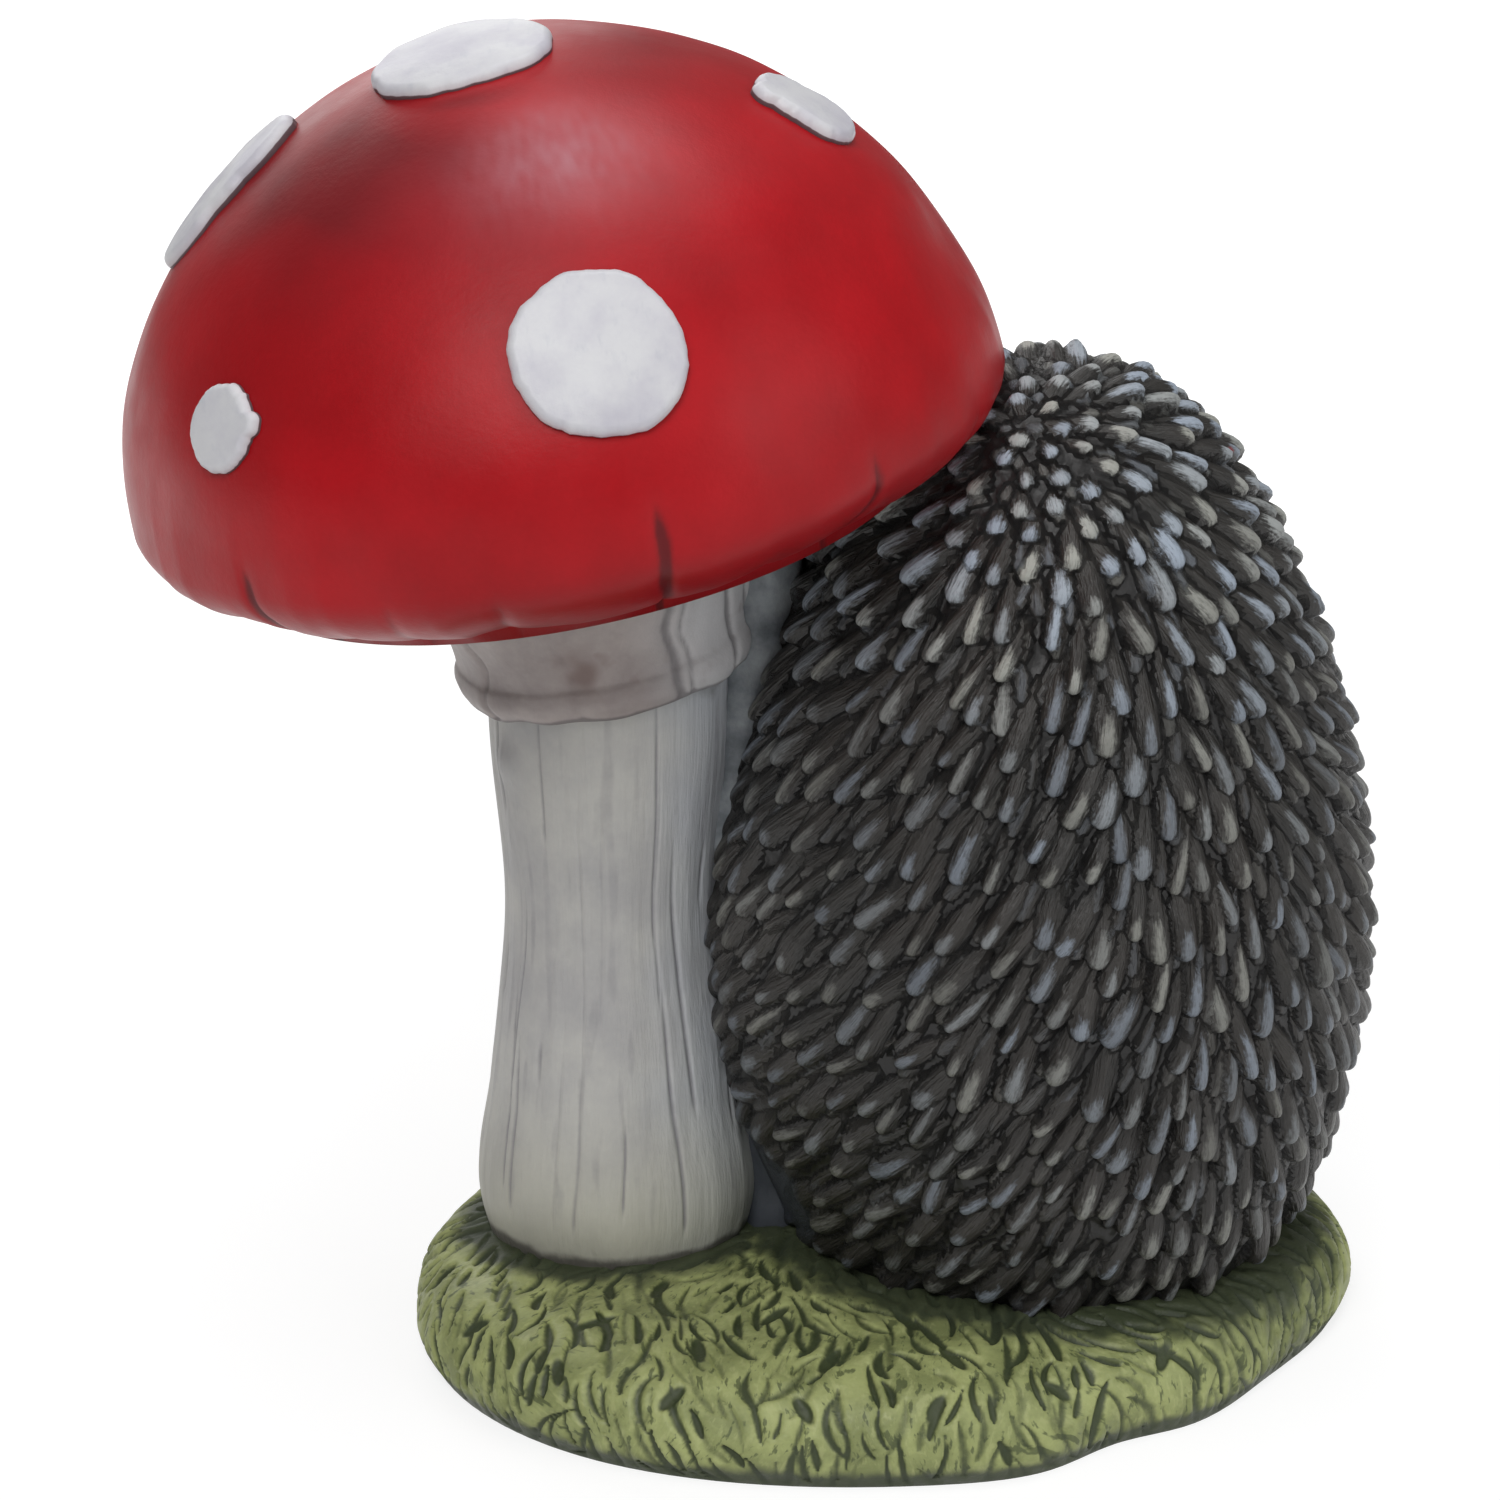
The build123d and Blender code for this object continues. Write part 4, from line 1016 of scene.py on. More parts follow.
def makeGills():
    ceiling = -capShape["floorDepth"]
    floor = ceiling - gillShape["plate"]
    outerRadius = capShape["lipRadius"] - 0.7
    rows = gillShape["rows"]
    columns = gillShape["count"] * 8
    turns = np.linspace(0, 2 * math.pi, columns, endpoint=False)
    turn = np.tile(turns, rows)
    radius = np.repeat(np.linspace(outerRadius, gillShape["innerRadius"], rows), columns)
    wander = 0.05 * softNoise(np.stack([np.cos(turn) * 3, np.sin(turn) * 3, radius / 16], 1), 1, 4)
    wave = 0.5 + 0.5 * np.cos((turn + wander) * gillShape["count"])
    fade = smoothStep(outerRadius, capShape["lipRadius"] - 5, radius)
    depth = gillShape["depth"] * fade * (wave ** 0.6)
    points = np.stack([np.cos(turn) * radius, np.sin(turn) * radius, floor + 0.6 - depth], 1)
    top = points[:columns] * np.array([1, 1, 0]) + np.array([0, 0, ceiling])
    newPiece("capGills", fromCap(np.concatenate([[[0, 0, ceiling]], top, points, [[0, 0, floor]]])),
             turnedFaces(rows + 1, columns, flip=True), makeGillMaterial(), ["cap_gills"],
             {"groove": np.concatenate([np.zeros(columns + 1), (1 - wave) * fade, [0]])})


# QUILL COAT
quillCoat = {
    "x": 18.0,
    "y": 2.0,
    "radius": 37.8,
    "middle": 46.0,
    "crownRadius": 24.0,
    "top": 116.2,
    "seatRadius": 26.0,
    "seat": 6.0,
    "swell": 0.5,
    "opening": (23.0, 45.5, 57.5),
    "openingDepth": 5.5,
    "crown": (-6.6, -12.7, 113.3),
    "sweepTurn": 120.0,
    "sweepReach": 90.0,
    "crownReach": 13.0,
    "dotReach": (4.0, 19.0),
    "dots": (11.5, -16.0, 106.5),
    "crownLean": 48.0,
    "crownLength": 5.0,
    "lowestTip": 11.0,
    "smoothPatch": (-14.5, -4.5, 20.0),
    "patchRadius": 8.0,
    "lean": 71.0,
    "quillLength": 7.6,
    "spacing": 3.4,
    "alongShare": 1.8,
    "tries": 5000,
    "fillSpacing": 2.72,
    "belowSpacing": 2.2,
    "fillTries": 14000,
    "plastic": 1.32471795724,
    "length": 9.5,
    "width": 1.7,
    "rise": 2.1,
    "overhang": 0.42,
    "lengthShares": (0.72, 1.18),
    "widthShares": (0.68, 1.15),
    "riseShares": (0.6, 1.15),
    "dabWidths": (0.42, 0.72),
    "strokes": (0.4, 4.2),
    "coverShares": (0.55, 1.05),
    "flowSwing": 0.14,
    "smallShares": (0.7, 0.7, 0.38, 0.2),
    "crownDrop": (96, 114, 0.9),
    "lap": 2.6,
    "triangles": 192000,
    "paint": (srgb(49, 46, 43), srgb(33, 32, 30)),
    "liftedColour": srgb(66, 63, 60),
    "deepColour": srgb(21, 20, 20),
    "paleColours": (srgb(164, 165, 158), srgb(160, 171, 185)),
    "patchColour": srgb(74, 79, 88),
    "speckColour": srgb(150, 30, 40),
    "specks": [(11.0, -6.6, 113.4, 0.8), (35.6, -6.9, 105.9, 0.9), (33.9, -7.6, 106.8, 0.5)],
}


bodyAxis = np.array([quillCoat["x"], quillCoat["y"], 0.0])
# The place inside the egg that its rays start from
eggHeart = bodyAxis + np.array([0, 0, quillCoat["middle"] + 8])


# The egg at heights, from the same three arcs as the frame's egg, swollen by a little: its radius,
# and how far its normal points out and up
def eggShape(heights, swell=0.0):
    waist = quillCoat["radius"] + swell
    crown = quillCoat["crownRadius"] + swell
    crownMiddle = quillCoat["top"] - quillCoat["crownRadius"]
    middle = quillCoat["middle"]
    climb = crownMiddle - middle
    flank = (waist ** 2 + climb ** 2 - crown ** 2) / (2 * (waist - crown))
    join = crownMiddle + crown * climb / (flank - crown)
    drop = middle - quillCoat["seat"]
    fall = quillCoat["radius"] - quillCoat["seatRadius"]
    lower = (drop ** 2 + fall ** 2) / (2 * fall)
    inCrown, inFlank = heights >= join, heights >= middle
    arcRadius = np.where(inCrown, crown, np.where(inFlank, flank, lower))
    arcHeight = np.where(inCrown, crownMiddle, middle)
    arcPlace = np.where(inCrown, 0, waist - arcRadius)
    up = (heights - arcHeight) / arcRadius
    out = np.sqrt(np.maximum(1 - up ** 2, 0))
    return arcPlace + arcRadius * out, out, up


def eggRadius(heights, swell):
    return eggShape(heights, swell)[0]


# Where rays from the egg's heart leave the egg
def onEgg(directions, swell):
    low = np.zeros(len(directions))
    high = np.full(len(directions), 90.0)
    flat = np.linalg.norm(directions[:, :2], axis=1)
    top = quillCoat["top"] + swell
    for _ in range(28):
        reach = (low + high) / 2
        up = eggHeart[2] + directions[:, 2] * reach
        inside = (up < top) & (up > quillCoat["seat"]) & (flat * reach < eggRadius(up, swell))
        low = np.where(inside, reach, low)
        high = np.where(inside, high, reach)
    return directions * low[:, None] + eggHeart


# Quills run away from the crown, and are swept round the body to one side
def quillFlow(points, normals):
    fromCrown = points - (bodyAxis + np.array(quillCoat["crown"]))
    sweepTurn = math.radians(quillCoat["sweepTurn"])
    sweep = np.array([math.cos(sweepTurn), math.sin(sweepTurn), 0]) / quillCoat["sweepReach"]
    flow = fromCrown / (fromCrown ** 2).sum(1)[:, None] + sweep
    flow -= normals * (flow * normals).sum(1)[:, None]
    return unit(flow), np.linalg.norm(fromCrown, axis=1)


def openingShare(points):
    halfWidth, halfHeight, middle = quillCoat["opening"]
    share = np.hypot((points[:, 0] - quillCoat["x"]) / halfWidth, (points[:, 2] - middle) / halfHeight)
    return np.where(points[:, 1] > quillCoat["y"] + 8, share, 9.0)


def makeQuillMaterial():
    paint = Paint("quillPaint", specular=0.45)
    grain = paint.attribute("grain", "Vector")
    ridge = paint.attribute("ridge")
    base = paint.base(*quillCoat["paint"], cloudScale=70.0, stippleScale=1200.0, stipple=0.6)
    streaks = paint.streaks(grain, (1.9, 0.28, 40.0), 0.6)
    fine = paint.streaks(grain, (4.6, 0.7, 40.0), 0.6)
    lifted = paint.brush(base, quillCoat["liftedColour"], paint.maths("SUBTRACT", ridge, 0.76), streaks,
                         raggedness=1.1, softness=0.7, cover=0.6)["Color"]
    valley = paint.maths("SUBTRACT", 1.0, paint.maths("MULTIPLY", ridge, 1.15))
    deep = paint.wash(lifted, quillCoat["deepColour"], valley, amount=0.9, unevenness=0.3, scale=500.0)
    pale = paint.mix(paint.ramp(paint.attribute("tone"), 0.1, 0.9), *quillCoat["paleColours"])
    speckle = paint.noise(paint.place(), 1500.0, 3.0, 0.7)
    broken = paint.maths("ADD", paint.maths("MULTIPLY", fine, 0.65), paint.maths("MULTIPLY", speckle, 0.35))
    dabs = paint.brush(deep, pale, paint.attribute("dab"), broken, raggedness=2.6, softness=0.75,
                       cover=paint.attribute("cover"))
    smeared = paint.mix(paint.maths("MULTIPLY", paint.attribute("bare"), 0.8), dabs["Color"],
                        quillCoat["patchColour"])
    speckShare = paint.ramp(paint.attribute("speck"), 0.3, 0.6, 0.0, 0.8)
    specks = paint.mix(speckShare, smeared, quillCoat["speckColour"])
    roughness = paint.mix(dabs["Mask"], (0.42, 0.42, 0.42, 1), (0.55, 0.55, 0.55, 1))
    return paint.finish(specks, roughness, (900.0, 0.3, 0.2), 0.00045, paint.maths("MULTIPLY", streaks, 1.1))


# How far places lie from the crown or from the knobs below it, whichever is nearer
def dotGap(places, crownGaps):
    return np.minimum(crownGaps, np.linalg.norm(places - np.array(quillCoat["dots"]), axis=1))


# Places of the quills, found one after another as the frame's coat finds them: each keeps its
# distance from the others, and a greater one along the way that it runs
def quillSeats(spacing, first, last, others=(), evenAtCrown=False):
    number = np.arange(first, last)
    heights = quillCoat["seat"] + (number / quillCoat["plastic"]) % 1 * (quillCoat["top"] - quillCoat["seat"])
    turns = 2 * math.pi * ((number / quillCoat["plastic"] ** 2) % 1)
    radii, outShares, upShares = eggShape(heights)
    rays = np.stack([np.cos(turns), np.sin(turns), np.zeros(len(turns))], 1)
    seats = rays * radii[:, None] + bodyAxis + np.outer(heights, [0, 0, 1])
    normals = rays * outShares[:, None] + np.outer(upShares, [0, 0, 1])
    flows, crownGaps = quillFlow(seats, normals)
    drawnOut = np.ones(len(number))
    if evenAtCrown:
        drawnOut = smoothStep(*quillCoat["dotReach"], dotGap(seats, crownGaps))
    alongShares = 1 + (quillCoat["alongShare"] - 1) * drawnOut
    spacings = spacing * (1.08 - 0.08 * drawnOut)
    kept = list(others)
    chosen = []
    for index, seat in enumerate(seats):
        apart = np.array(kept).reshape(-1, 3) - seat
        along = apart @ flows[index]
        near = (apart ** 2).sum(1) - along ** 2 * (1 - 1 / alongShares[index] ** 2) < spacings[index] ** 2
        if not near.any():
            kept.append(seat)
            chosen.append(index)
    return seats[chosen], normals[chosen], flows[chosen], crownGaps[chosen]


def makeQuillCoat():
    directions, faces = roundMesh(8)
    points = onEgg(directions, quillCoat["swell"])
    normals = vertexNormals(points, faces)
    share = openingShare(points)
    main = quillSeats(quillCoat["spacing"], 1, quillCoat["tries"])
    lean = np.radians(quillCoat["crownLean"] + (quillCoat["lean"] - quillCoat["crownLean"])
                      * np.minimum(main[3] / quillCoat["crownReach"], 1))
    reach = np.where(main[3] < quillCoat["crownReach"], quillCoat["crownLength"], quillCoat["quillLength"])
    mainTips = main[0] + main[2] * (reach * np.sin(lean))[:, None]
    # more quills stand between those of the frame
    between = quillSeats(quillCoat["fillSpacing"], quillCoat["tries"], quillCoat["fillTries"], mainTips, True)
    below = quillSeats(quillCoat["belowSpacing"], 1, quillCoat["tries"])
    tips = np.concatenate([mainTips, between[0], below[0]])
    small = np.repeat([0.0, 0.0, 1.0], [len(mainTips), len(between[0]), len(below[0])])
    tips = onEgg(unit(tips - eggHeart), quillCoat["swell"])
    shown = (openingShare(tips) > 1.0) & (tips[:, 2] > quillCoat["lowestTip"])
    tips = tips[shown]
    small = small[shown]
    randoms = np.random.RandomState(21)
    count = len(tips)
    _, out, up = eggShape(tips[:, 2])
    tipNormals = unit((tips - bodyAxis) * np.array([1, 1, 0])) * out[:, None] + np.outer(up, [0, 0, 1])
    flows, crownGaps = quillFlow(tips, tipNormals)
    settled = smoothStep(*quillCoat["dotReach"], dotGap(tips, crownGaps))
    # low down beside the stem the quills lie flatter
    flatter = smoothStep(20, -25, tips[:, 0]) * smoothStep(100, 60, tips[:, 2])
    swing = randoms.normal(0, quillCoat["flowSwing"], count)
    strandFlows = unit(flows + np.cross(tipNormals, flows) * swing[:, None])

    def some(key):
        return randoms.uniform(*quillCoat[key], count)

    sizes = {
        "length": quillCoat["length"] * (0.36 + 0.64 * settled) * some("lengthShares") * (1 + 0.15 * flatter),
        "width": quillCoat["width"] * some("widthShares") * (0.88 + 0.12 * settled),
        "rise": quillCoat["rise"] * some("riseShares") * (1 - 0.42 * flatter) * (0.6 + 0.4 * settled),
        "bend": randoms.normal(0, 0.03, count),
        "dab": some("dabWidths") + 0.1 * (1 - settled) + 0.2 * smoothStep(78, 104, tips[:, 2]),
        "stroke": 2.4 + settled * some("strokes"),
        "tone": randoms.uniform(0, 1, count),
    }
    # the brush left most paint at the crown and on the right, less under the cap and beside the stem, where
    # the fewer pale dabs are painted shade
    brushedAndShaded = (0.62 + 0.74 * smoothStep(78, 102, tips[:, 2]) - 0.18 * smoothStep(12, -12, tips[:, 0])
               - 0.14 * smoothStep(22, 48, tips[:, 0]) * smoothStep(100, 84, tips[:, 2]))
    sizes["cover"] = brushedAndShaded * some("coverShares")
    for key, smallShare in zip(("length", "width", "rise", "cover"), quillCoat["smallShares"]):
        sizes[key] *= 1 - (1 - smallShare) * small
    height, ridge, field, grain, tone, cover = layStrands(points, tips, tipNormals, strandFlows, sizes)
    meshFlows, _ = quillFlow(points, normals)
    base = (0.25 * softNoise(points, 5, 2) + 0.3 * softNoise(points, 1.5, 23)) * (height <= 0)
    patchGap = np.linalg.norm(points - np.array(quillCoat["smoothPatch"]), axis=1)
    patchShare = patchGap / quillCoat["patchRadius"] + 0.15 * softNoise(points, 4, 6)
    fringe = smoothStep(0.97, 1.0, share) * smoothStep(0.7, 1.1, patchShare)
    bare = smoothStep(1.15, 0.8, patchShare)
    field = np.where(fringe > 0.9, field, -1)
    shaped = points + normals * ((height + base) * fringe)[:, None]
    shaped += meshFlows * (height * quillCoat["overhang"] * fringe)[:, None]
    dropLow, dropHigh, drop = quillCoat["crownDrop"]
    shaped -= normals * (drop * smoothStep(dropLow, dropHigh, points[:, 2]))[:, None]
    pocket = quillCoat["openingDepth"] * smoothStep(1.0, 0.94, share)
    shaped -= normals * pocket[:, None]
    # the coat laps over the stem's right side
    bearing = np.degrees(np.arctan2(points[:, 1] - bodyAxis[1], points[:, 0] - bodyAxis[0]))
    lap = bell(bearingGap(bearing, -162), 20) * bell(points[:, 2] - 50, 24)
    lap *= 1 + 0.35 * softNoise(points, 5, 17)
    shaped += normals * (quillCoat["lap"] * lap)[:, None]
    speck = np.zeros(len(points))
    for x, y, z, radius in quillCoat["specks"]:
        speck = np.maximum(speck, bell(np.linalg.norm(points - np.array([x, y, z]), axis=1), radius))
    print("quills", len(main[0]), len(between[0]), count)
    coat = newPiece("quillCoat", shaped, faces, makeQuillMaterial(), ["quill_coat"],
                    {"ridge": ridge, "dab": field, "grain": grain, "tone": tone, "cover": cover,
                     "speck": speck, "bare": bare})
    thinOut(coat, quillCoat["triangles"])


# FACE, BELLY AND LIMBS on the side that faces +Y. Places are measured from the body's axis, and fur
# is the length, width and rise of its strands.
faceShape = {
    "height": 84.0,
    "floor": 14.0,
    "tilt": 5.0,
    "radius": 19.6,
    "depth": 32.0,
    "profile": [(0.0, 1.0), (0.1, 0.99), (0.19, 0.95), (0.27, 0.86), (0.47, 0.66), (0.8, 0.42), (1.0, 0.16),
                (0.99, 0.0), (0.5, -0.05), (0.05, -0.06)],
    "columns": 260,
    "rows": 150,
    "nose": 3.3,
    "noseSink": 1.0,
    "eye": 2.5,
    "mouth": (20.5, 30.2),
    "fur": (4.6, 0.8, 0.55),
    "furSpacing": 1.75,
    "paint": (srgb(164, 134, 102), srgb(140, 110, 82), srgb(196, 174, 142)),
    "black": (srgb(24, 22, 22), srgb(13, 12, 12)),
}
bellyShape = {
    "inset": 1.6,
    "thickness": 5.0,
    "columns": 300,
    "rows": 100,
    "fur": (5.5, 0.95, 0.6),
    "furSpacing": 2.1,
    "paint": (srgb(192, 172, 142), srgb(172, 150, 120), srgb(214, 200, 174)),
}
limbs = {
    "earRadius": 5.6,
    "earThickness": 3.2,
    "ear": (15.5, 21.5, 97.5),
    "earTurn": 28.0,
    "shoulder": (17.5, 29.0, 67.0),
    "shoulderRadius": 5.6,
    "hand": (7.0, 37.0, 53.0),
    "handRadius": 4.3,
    "fingerGap": 1.75,
    "heel": (11.5, 27.0, 15.5),
    "heelRadius": 6.2,
    "toeRadius": 5.2,
    "toeGap": 2.25,
    "footLength": 10.5,
    "voxel": 0.34,
    "fur": (4.2, 0.75, 0.45),
    "furSpacing": 1.7,
    "paint": (srgb(160, 130, 98), srgb(138, 108, 80), srgb(190, 166, 134)),
    "skinPaint": (srgb(158, 116, 92), srgb(136, 96, 75)),
    "skinFold": srgb(74, 50, 40),
}
furWash = srgb(82, 62, 46)
furShade = srgb(70, 52, 40)
sides = ((-1, "left"), (1, "right"))


def sidePlace(place, side):
    return bodyAxis + np.array([side * place[0], place[1], place[2]])


def makeFurMaterial(name, light, dark, tipColour):
    paint = Paint(name)
    base = paint.base(light, dark, cloudScale=90.0, stippleScale=1200.0, stipple=0.4)
    streaks = paint.streaks(paint.attribute("grain", "Vector"), (3.4, 0.5, 40.0), 0.6)
    valley = paint.maths("SUBTRACT", 0.95, paint.attribute("ridge"))
    deep = paint.wash(base, furWash, valley, amount=0.7, unevenness=0.4, scale=500.0)
    dabs = paint.brush(deep, tipColour, paint.attribute("dab"), streaks, raggedness=0.8, softness=0.6,
                       cover=0.6)["Color"]
    return paint.finish(paint.tint("shade", dabs, furShade), 0.55, (900.0, 0.3, 0.2), 0.0003,
                        paint.maths("MULTIPLY", streaks, 0.8))


def makeSkinMaterial():
    paint = Paint("skinPaint")
    base = paint.base(*limbs["skinPaint"], cloudScale=150.0, stippleScale=1300.0, stipple=0.4)
    deep = paint.wash(base, limbs["skinFold"], paint.attribute("shade"),
                      amount=0.8, unevenness=0.5, scale=500.0)
    return paint.finish(deep, 0.5, (900.0, 0.5, 0.4), 0.0002)


def makeBlackMaterial():
    paint = Paint("glossBlack", specular=0.5, coat=0.6, coatRoughness=0.08)
    base = paint.base(*faceShape["black"], cloudScale=400.0, stippleScale=2500.0, stipple=0.3)
    return paint.finish(base, 0.2, (1500.0, 0.2, 0.5), 0.00005)


def furSizes(count, seed, length, width, rise):
    randoms = np.random.RandomState(seed)
    return {
        "length": length * randoms.uniform(0.8, 1.2, count),
        "width": width * randoms.uniform(0.8, 1.2, count),
        "rise": rise * randoms.uniform(0.7, 1.2, count),
        "bend": randoms.normal(0, 0.05, count),
        "dab": randoms.uniform(0.5, 0.8, count),
        "stroke": length * randoms.uniform(0.4, 0.8, count),
        "tone": randoms.uniform(0, 1, count),
        "cover": np.ones(count),
    }


# Lays fur on points, where growing says how much of it stands at each one. Gives its height, and
# what the paint needs.
def layFur(points, normals, flows, growing, spacing, sizes, seed):
    planted = np.nonzero(growing > 0.15)[0]
    chosen = planted[scatterSeeds(points[planted], flows[planted], spacing, 2.0, seed, 9000)]
    height, ridge, field, grain, _, _ = layStrands(points, points[chosen], normals[chosen], flows[chosen],
                                                   furSizes(len(chosen), seed, *sizes))
    dab = np.where(growing > 0.3, field, -1)
    return height * growing, {"ridge": ridge * growing + (1 - growing), "dab": dab, "grain": grain}


def tangentFlow(normals, direction):
    flow = direction - normals * (normals * direction).sum(-1, keepdims=True)
    return unit(flow)


def eyeCentre(side):
    low, high = (np.array(corner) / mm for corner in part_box("eye_left" if side < 0 else "eye_right"))
    outer = low[0] + faceShape["eye"] if side < 0 else high[0] - faceShape["eye"]
    return np.array([outer, high[1] - faceShape["eye"], high[2] - faceShape["eye"]])


def makeHead():
    tilt = math.radians(faceShape["tilt"])
    forward = np.array([0, math.cos(tilt), math.sin(tilt)])
    upward = np.array([0, -math.sin(tilt), math.cos(tilt)])
    sideways = np.array([1.0, 0, 0])
    start = bodyAxis + np.array([0, faceShape["floor"], faceShape["height"]])
    profile = np.array(faceShape["profile"])
    knots = np.arange(len(profile))
    steps = np.concatenate([np.linspace(0.3, 6.8, faceShape["rows"]), np.linspace(6.8, 9, 12)[1:]])
    radii = smoothLine(knots, profile[:, 0], steps) * faceShape["radius"]
    depths = smoothLine(knots, profile[:, 1], steps) * faceShape["depth"]
    turns = np.linspace(-math.pi, math.pi, faceShape["columns"], endpoint=False)
    turn = np.tile(turns, len(radii))
    radius = np.repeat(radii, len(turns))
    depth = np.repeat(depths, len(turns))
    # cheeks stand out low at both sides, the brow is a little flatter, the bridge of the snout dips
    cheeks = bell(np.abs(np.degrees(turn) + 90) - 58, 34) * bell(depth - 14, 6)
    bridge = bell(np.degrees(turn) - 90, 45) * bell(depth - 19, 4)
    radius = radius + 1.3 * cheeks - 0.9 * bridge
    rows = (start + np.outer(depth, forward) + (radius * np.cos(turn))[:, None] * sideways
            + (radius * np.sin(turn))[:, None] * upward)
    points = np.concatenate([[start + forward * faceShape["depth"]], rows,
                             [start - forward * 0.06 * faceShape["depth"]]])
    faces = turnedFaces(len(radii), len(turns))
    normals = vertexNormals(points, asTriangles(faces))
    if (normals[0] @ forward) < 0:
        normals = -normals
    shade = np.zeros(len(points))
    relief = np.zeros(len(points))
    eyeGaps = []
    for side, _ in sides:
        eye = eyeCentre(side)
        gap = np.linalg.norm(points - eye, axis=1)
        relief += 0.45 * bell(gap - 4.2, 1.3) * (points[:, 2] > eye[2]) - 0.9 * bell(gap, 3.0)
        shade = np.maximum(shade, smoothStep(4.4, 2.6, gap) * 0.85)
        eyeGaps.append(gap)
    out = points - start
    depth = out @ forward
    fromBelow = np.abs(np.arctan2(out @ upward, out @ sideways) + math.pi / 2)
    mouthStart, mouthEnd = faceShape["mouth"]
    mouthGap = fromBelow * np.linalg.norm(np.cross(out, forward), axis=1)
    mouthGap -= np.clip(mouthEnd - depth, 0, 20) * 0.5
    mouth = bell(mouthGap, 0.4) * smoothStep(mouthStart, mouthStart + 1.5, depth) * (depth < mouthEnd)
    relief -= 0.5 * mouth
    shade = np.maximum(np.maximum(shade, mouth * 0.9), smoothStep(23, 29, depth) * 0.35)
    flows = tangentFlow(normals, -forward + 0.25 * out / 20)
    growing = (smoothStep(27, 21, depth) * smoothStep(3.2, 4.6, np.minimum(*eyeGaps))
               * smoothStep(1.0, 4.0, depth) * (1 - mouth))
    fur, shown = layFur(points, normals, flows, growing, faceShape["furSpacing"], faceShape["fur"], 31)
    newPiece("hedgehogHead", points + normals * (relief + fur - 0.2)[:, None], faces,
             makeFurMaterial("facePaint", *faceShape["paint"]), ["head"], {**shown, "shade": shade})
    noseCentre = start + forward * (faceShape["depth"] - faceShape["noseSink"])
    black = makeBlackMaterial()
    directions, ballFaces = roundMesh(6)
    nose = directions * faceShape["nose"] * np.array([1.08, 0.92, 0.9])
    for side, _ in sides:
        nostril = unit(np.array([[side * 0.55, 0.8, -0.25]]))[0]
        gap = np.linalg.norm(directions - nostril, axis=1)
        nose -= directions * (0.55 * bell(gap, 0.22))[:, None]
    cleft = 0.2 * bell(directions[:, 0], 0.1) * (directions[:, 2] < 0.1) * (directions[:, 1] > 0)
    nose -= directions * cleft[:, None]
    newPiece("hedgehogNose", nose + noseCentre, ballFaces, black, ["nose"])
    for side, sideName in sides:
        lens = directions * faceShape["eye"] * np.array([1, 1, 0.96])
        newPiece(f"hedgehogEye_{sideName}", lens + eyeCentre(side), ballFaces, black,
                 [f"eye_{sideName}"])


def makeBelly():
    halfWidth, halfHeight, middle = quillCoat["opening"]
    inset = bellyShape["inset"]
    rings = np.linspace(0, 1.0, bellyShape["rows"])[1:]
    turns = np.linspace(0, 2 * math.pi, bellyShape["columns"], endpoint=False)
    rays = np.stack([np.cos(turns) * halfWidth * 1.03, np.sin(turns) * halfHeight * 1.02], 1)
    flat = np.concatenate([[[0, 0]], (rings[:, None, None] * rays[None]).reshape(-1, 2)])
    reach = np.minimum(eggRadius(flat[:, 1] + middle, -inset), quillCoat["radius"] - inset)
    out = np.sqrt(np.maximum(reach ** 2 - flat[:, 0] ** 2, 16))
    points = bodyAxis + np.stack([flat[:, 0], out, flat[:, 1] + middle], 1)
    count = len(points)
    faces = [face for face in turnedFaces(len(rings), len(turns)) if max(face) < count]
    normals = vertexNormals(points, asTriangles(faces))
    if normals[0][1] < 0:
        normals = -normals
        faces = [face[::-1] for face in faces]
    downward = np.array([0, 0, -1.0]) + 0.25 * unit(points - bodyAxis - np.array([0, 0, middle]))
    edge = np.linalg.norm(flat / np.array([halfWidth, halfHeight]), axis=1)
    fur, shown = layFur(points, normals, tangentFlow(normals, downward), smoothStep(1.0, 0.93, edge),
                        bellyShape["furSpacing"], bellyShape["fur"], 37)
    shaped = points + normals * (fur - 0.1)[:, None]
    # the back is closed by faces from the rim to one point inside
    back = points[0] - np.array([0, bellyShape["thickness"], 0])
    rim = list(range(count - len(turns), count))
    closing = [[count, first, second] for first, second in zip(rim, rim[1:] + rim[:1])]
    edges = {pair for face in faces for pair in zip(face, face[1:] + face[:1])}
    if (rim[0], rim[1]) in edges:
        closing = [face[::-1] for face in closing]
    newPiece("hedgehogBelly", np.concatenate([shaped, [back]]), faces + closing,
             makeFurMaterial("bellyPaint", *bellyShape["paint"]), ["belly"],
             {"ridge": np.append(shown["ridge"], 1), "dab": np.append(shown["dab"], -1),
              "grain": np.concatenate([shown["grain"], [[0, 0, 0]]]),
              "shade": np.append(smoothStep(0.9, 1.02, edge) * 0.8, 0)})


# A drop between two places, as a round mesh pulled apart at its middle
def dropMesh(start, end, startRadius, endRadius):
    directions, faces = roundMesh(5)
    axis = unit((end - start)[None])[0]
    atEnd = directions @ axis > 0
    return np.where(atEnd[:, None], end + directions * endRadius, start + directions * startRadius), faces


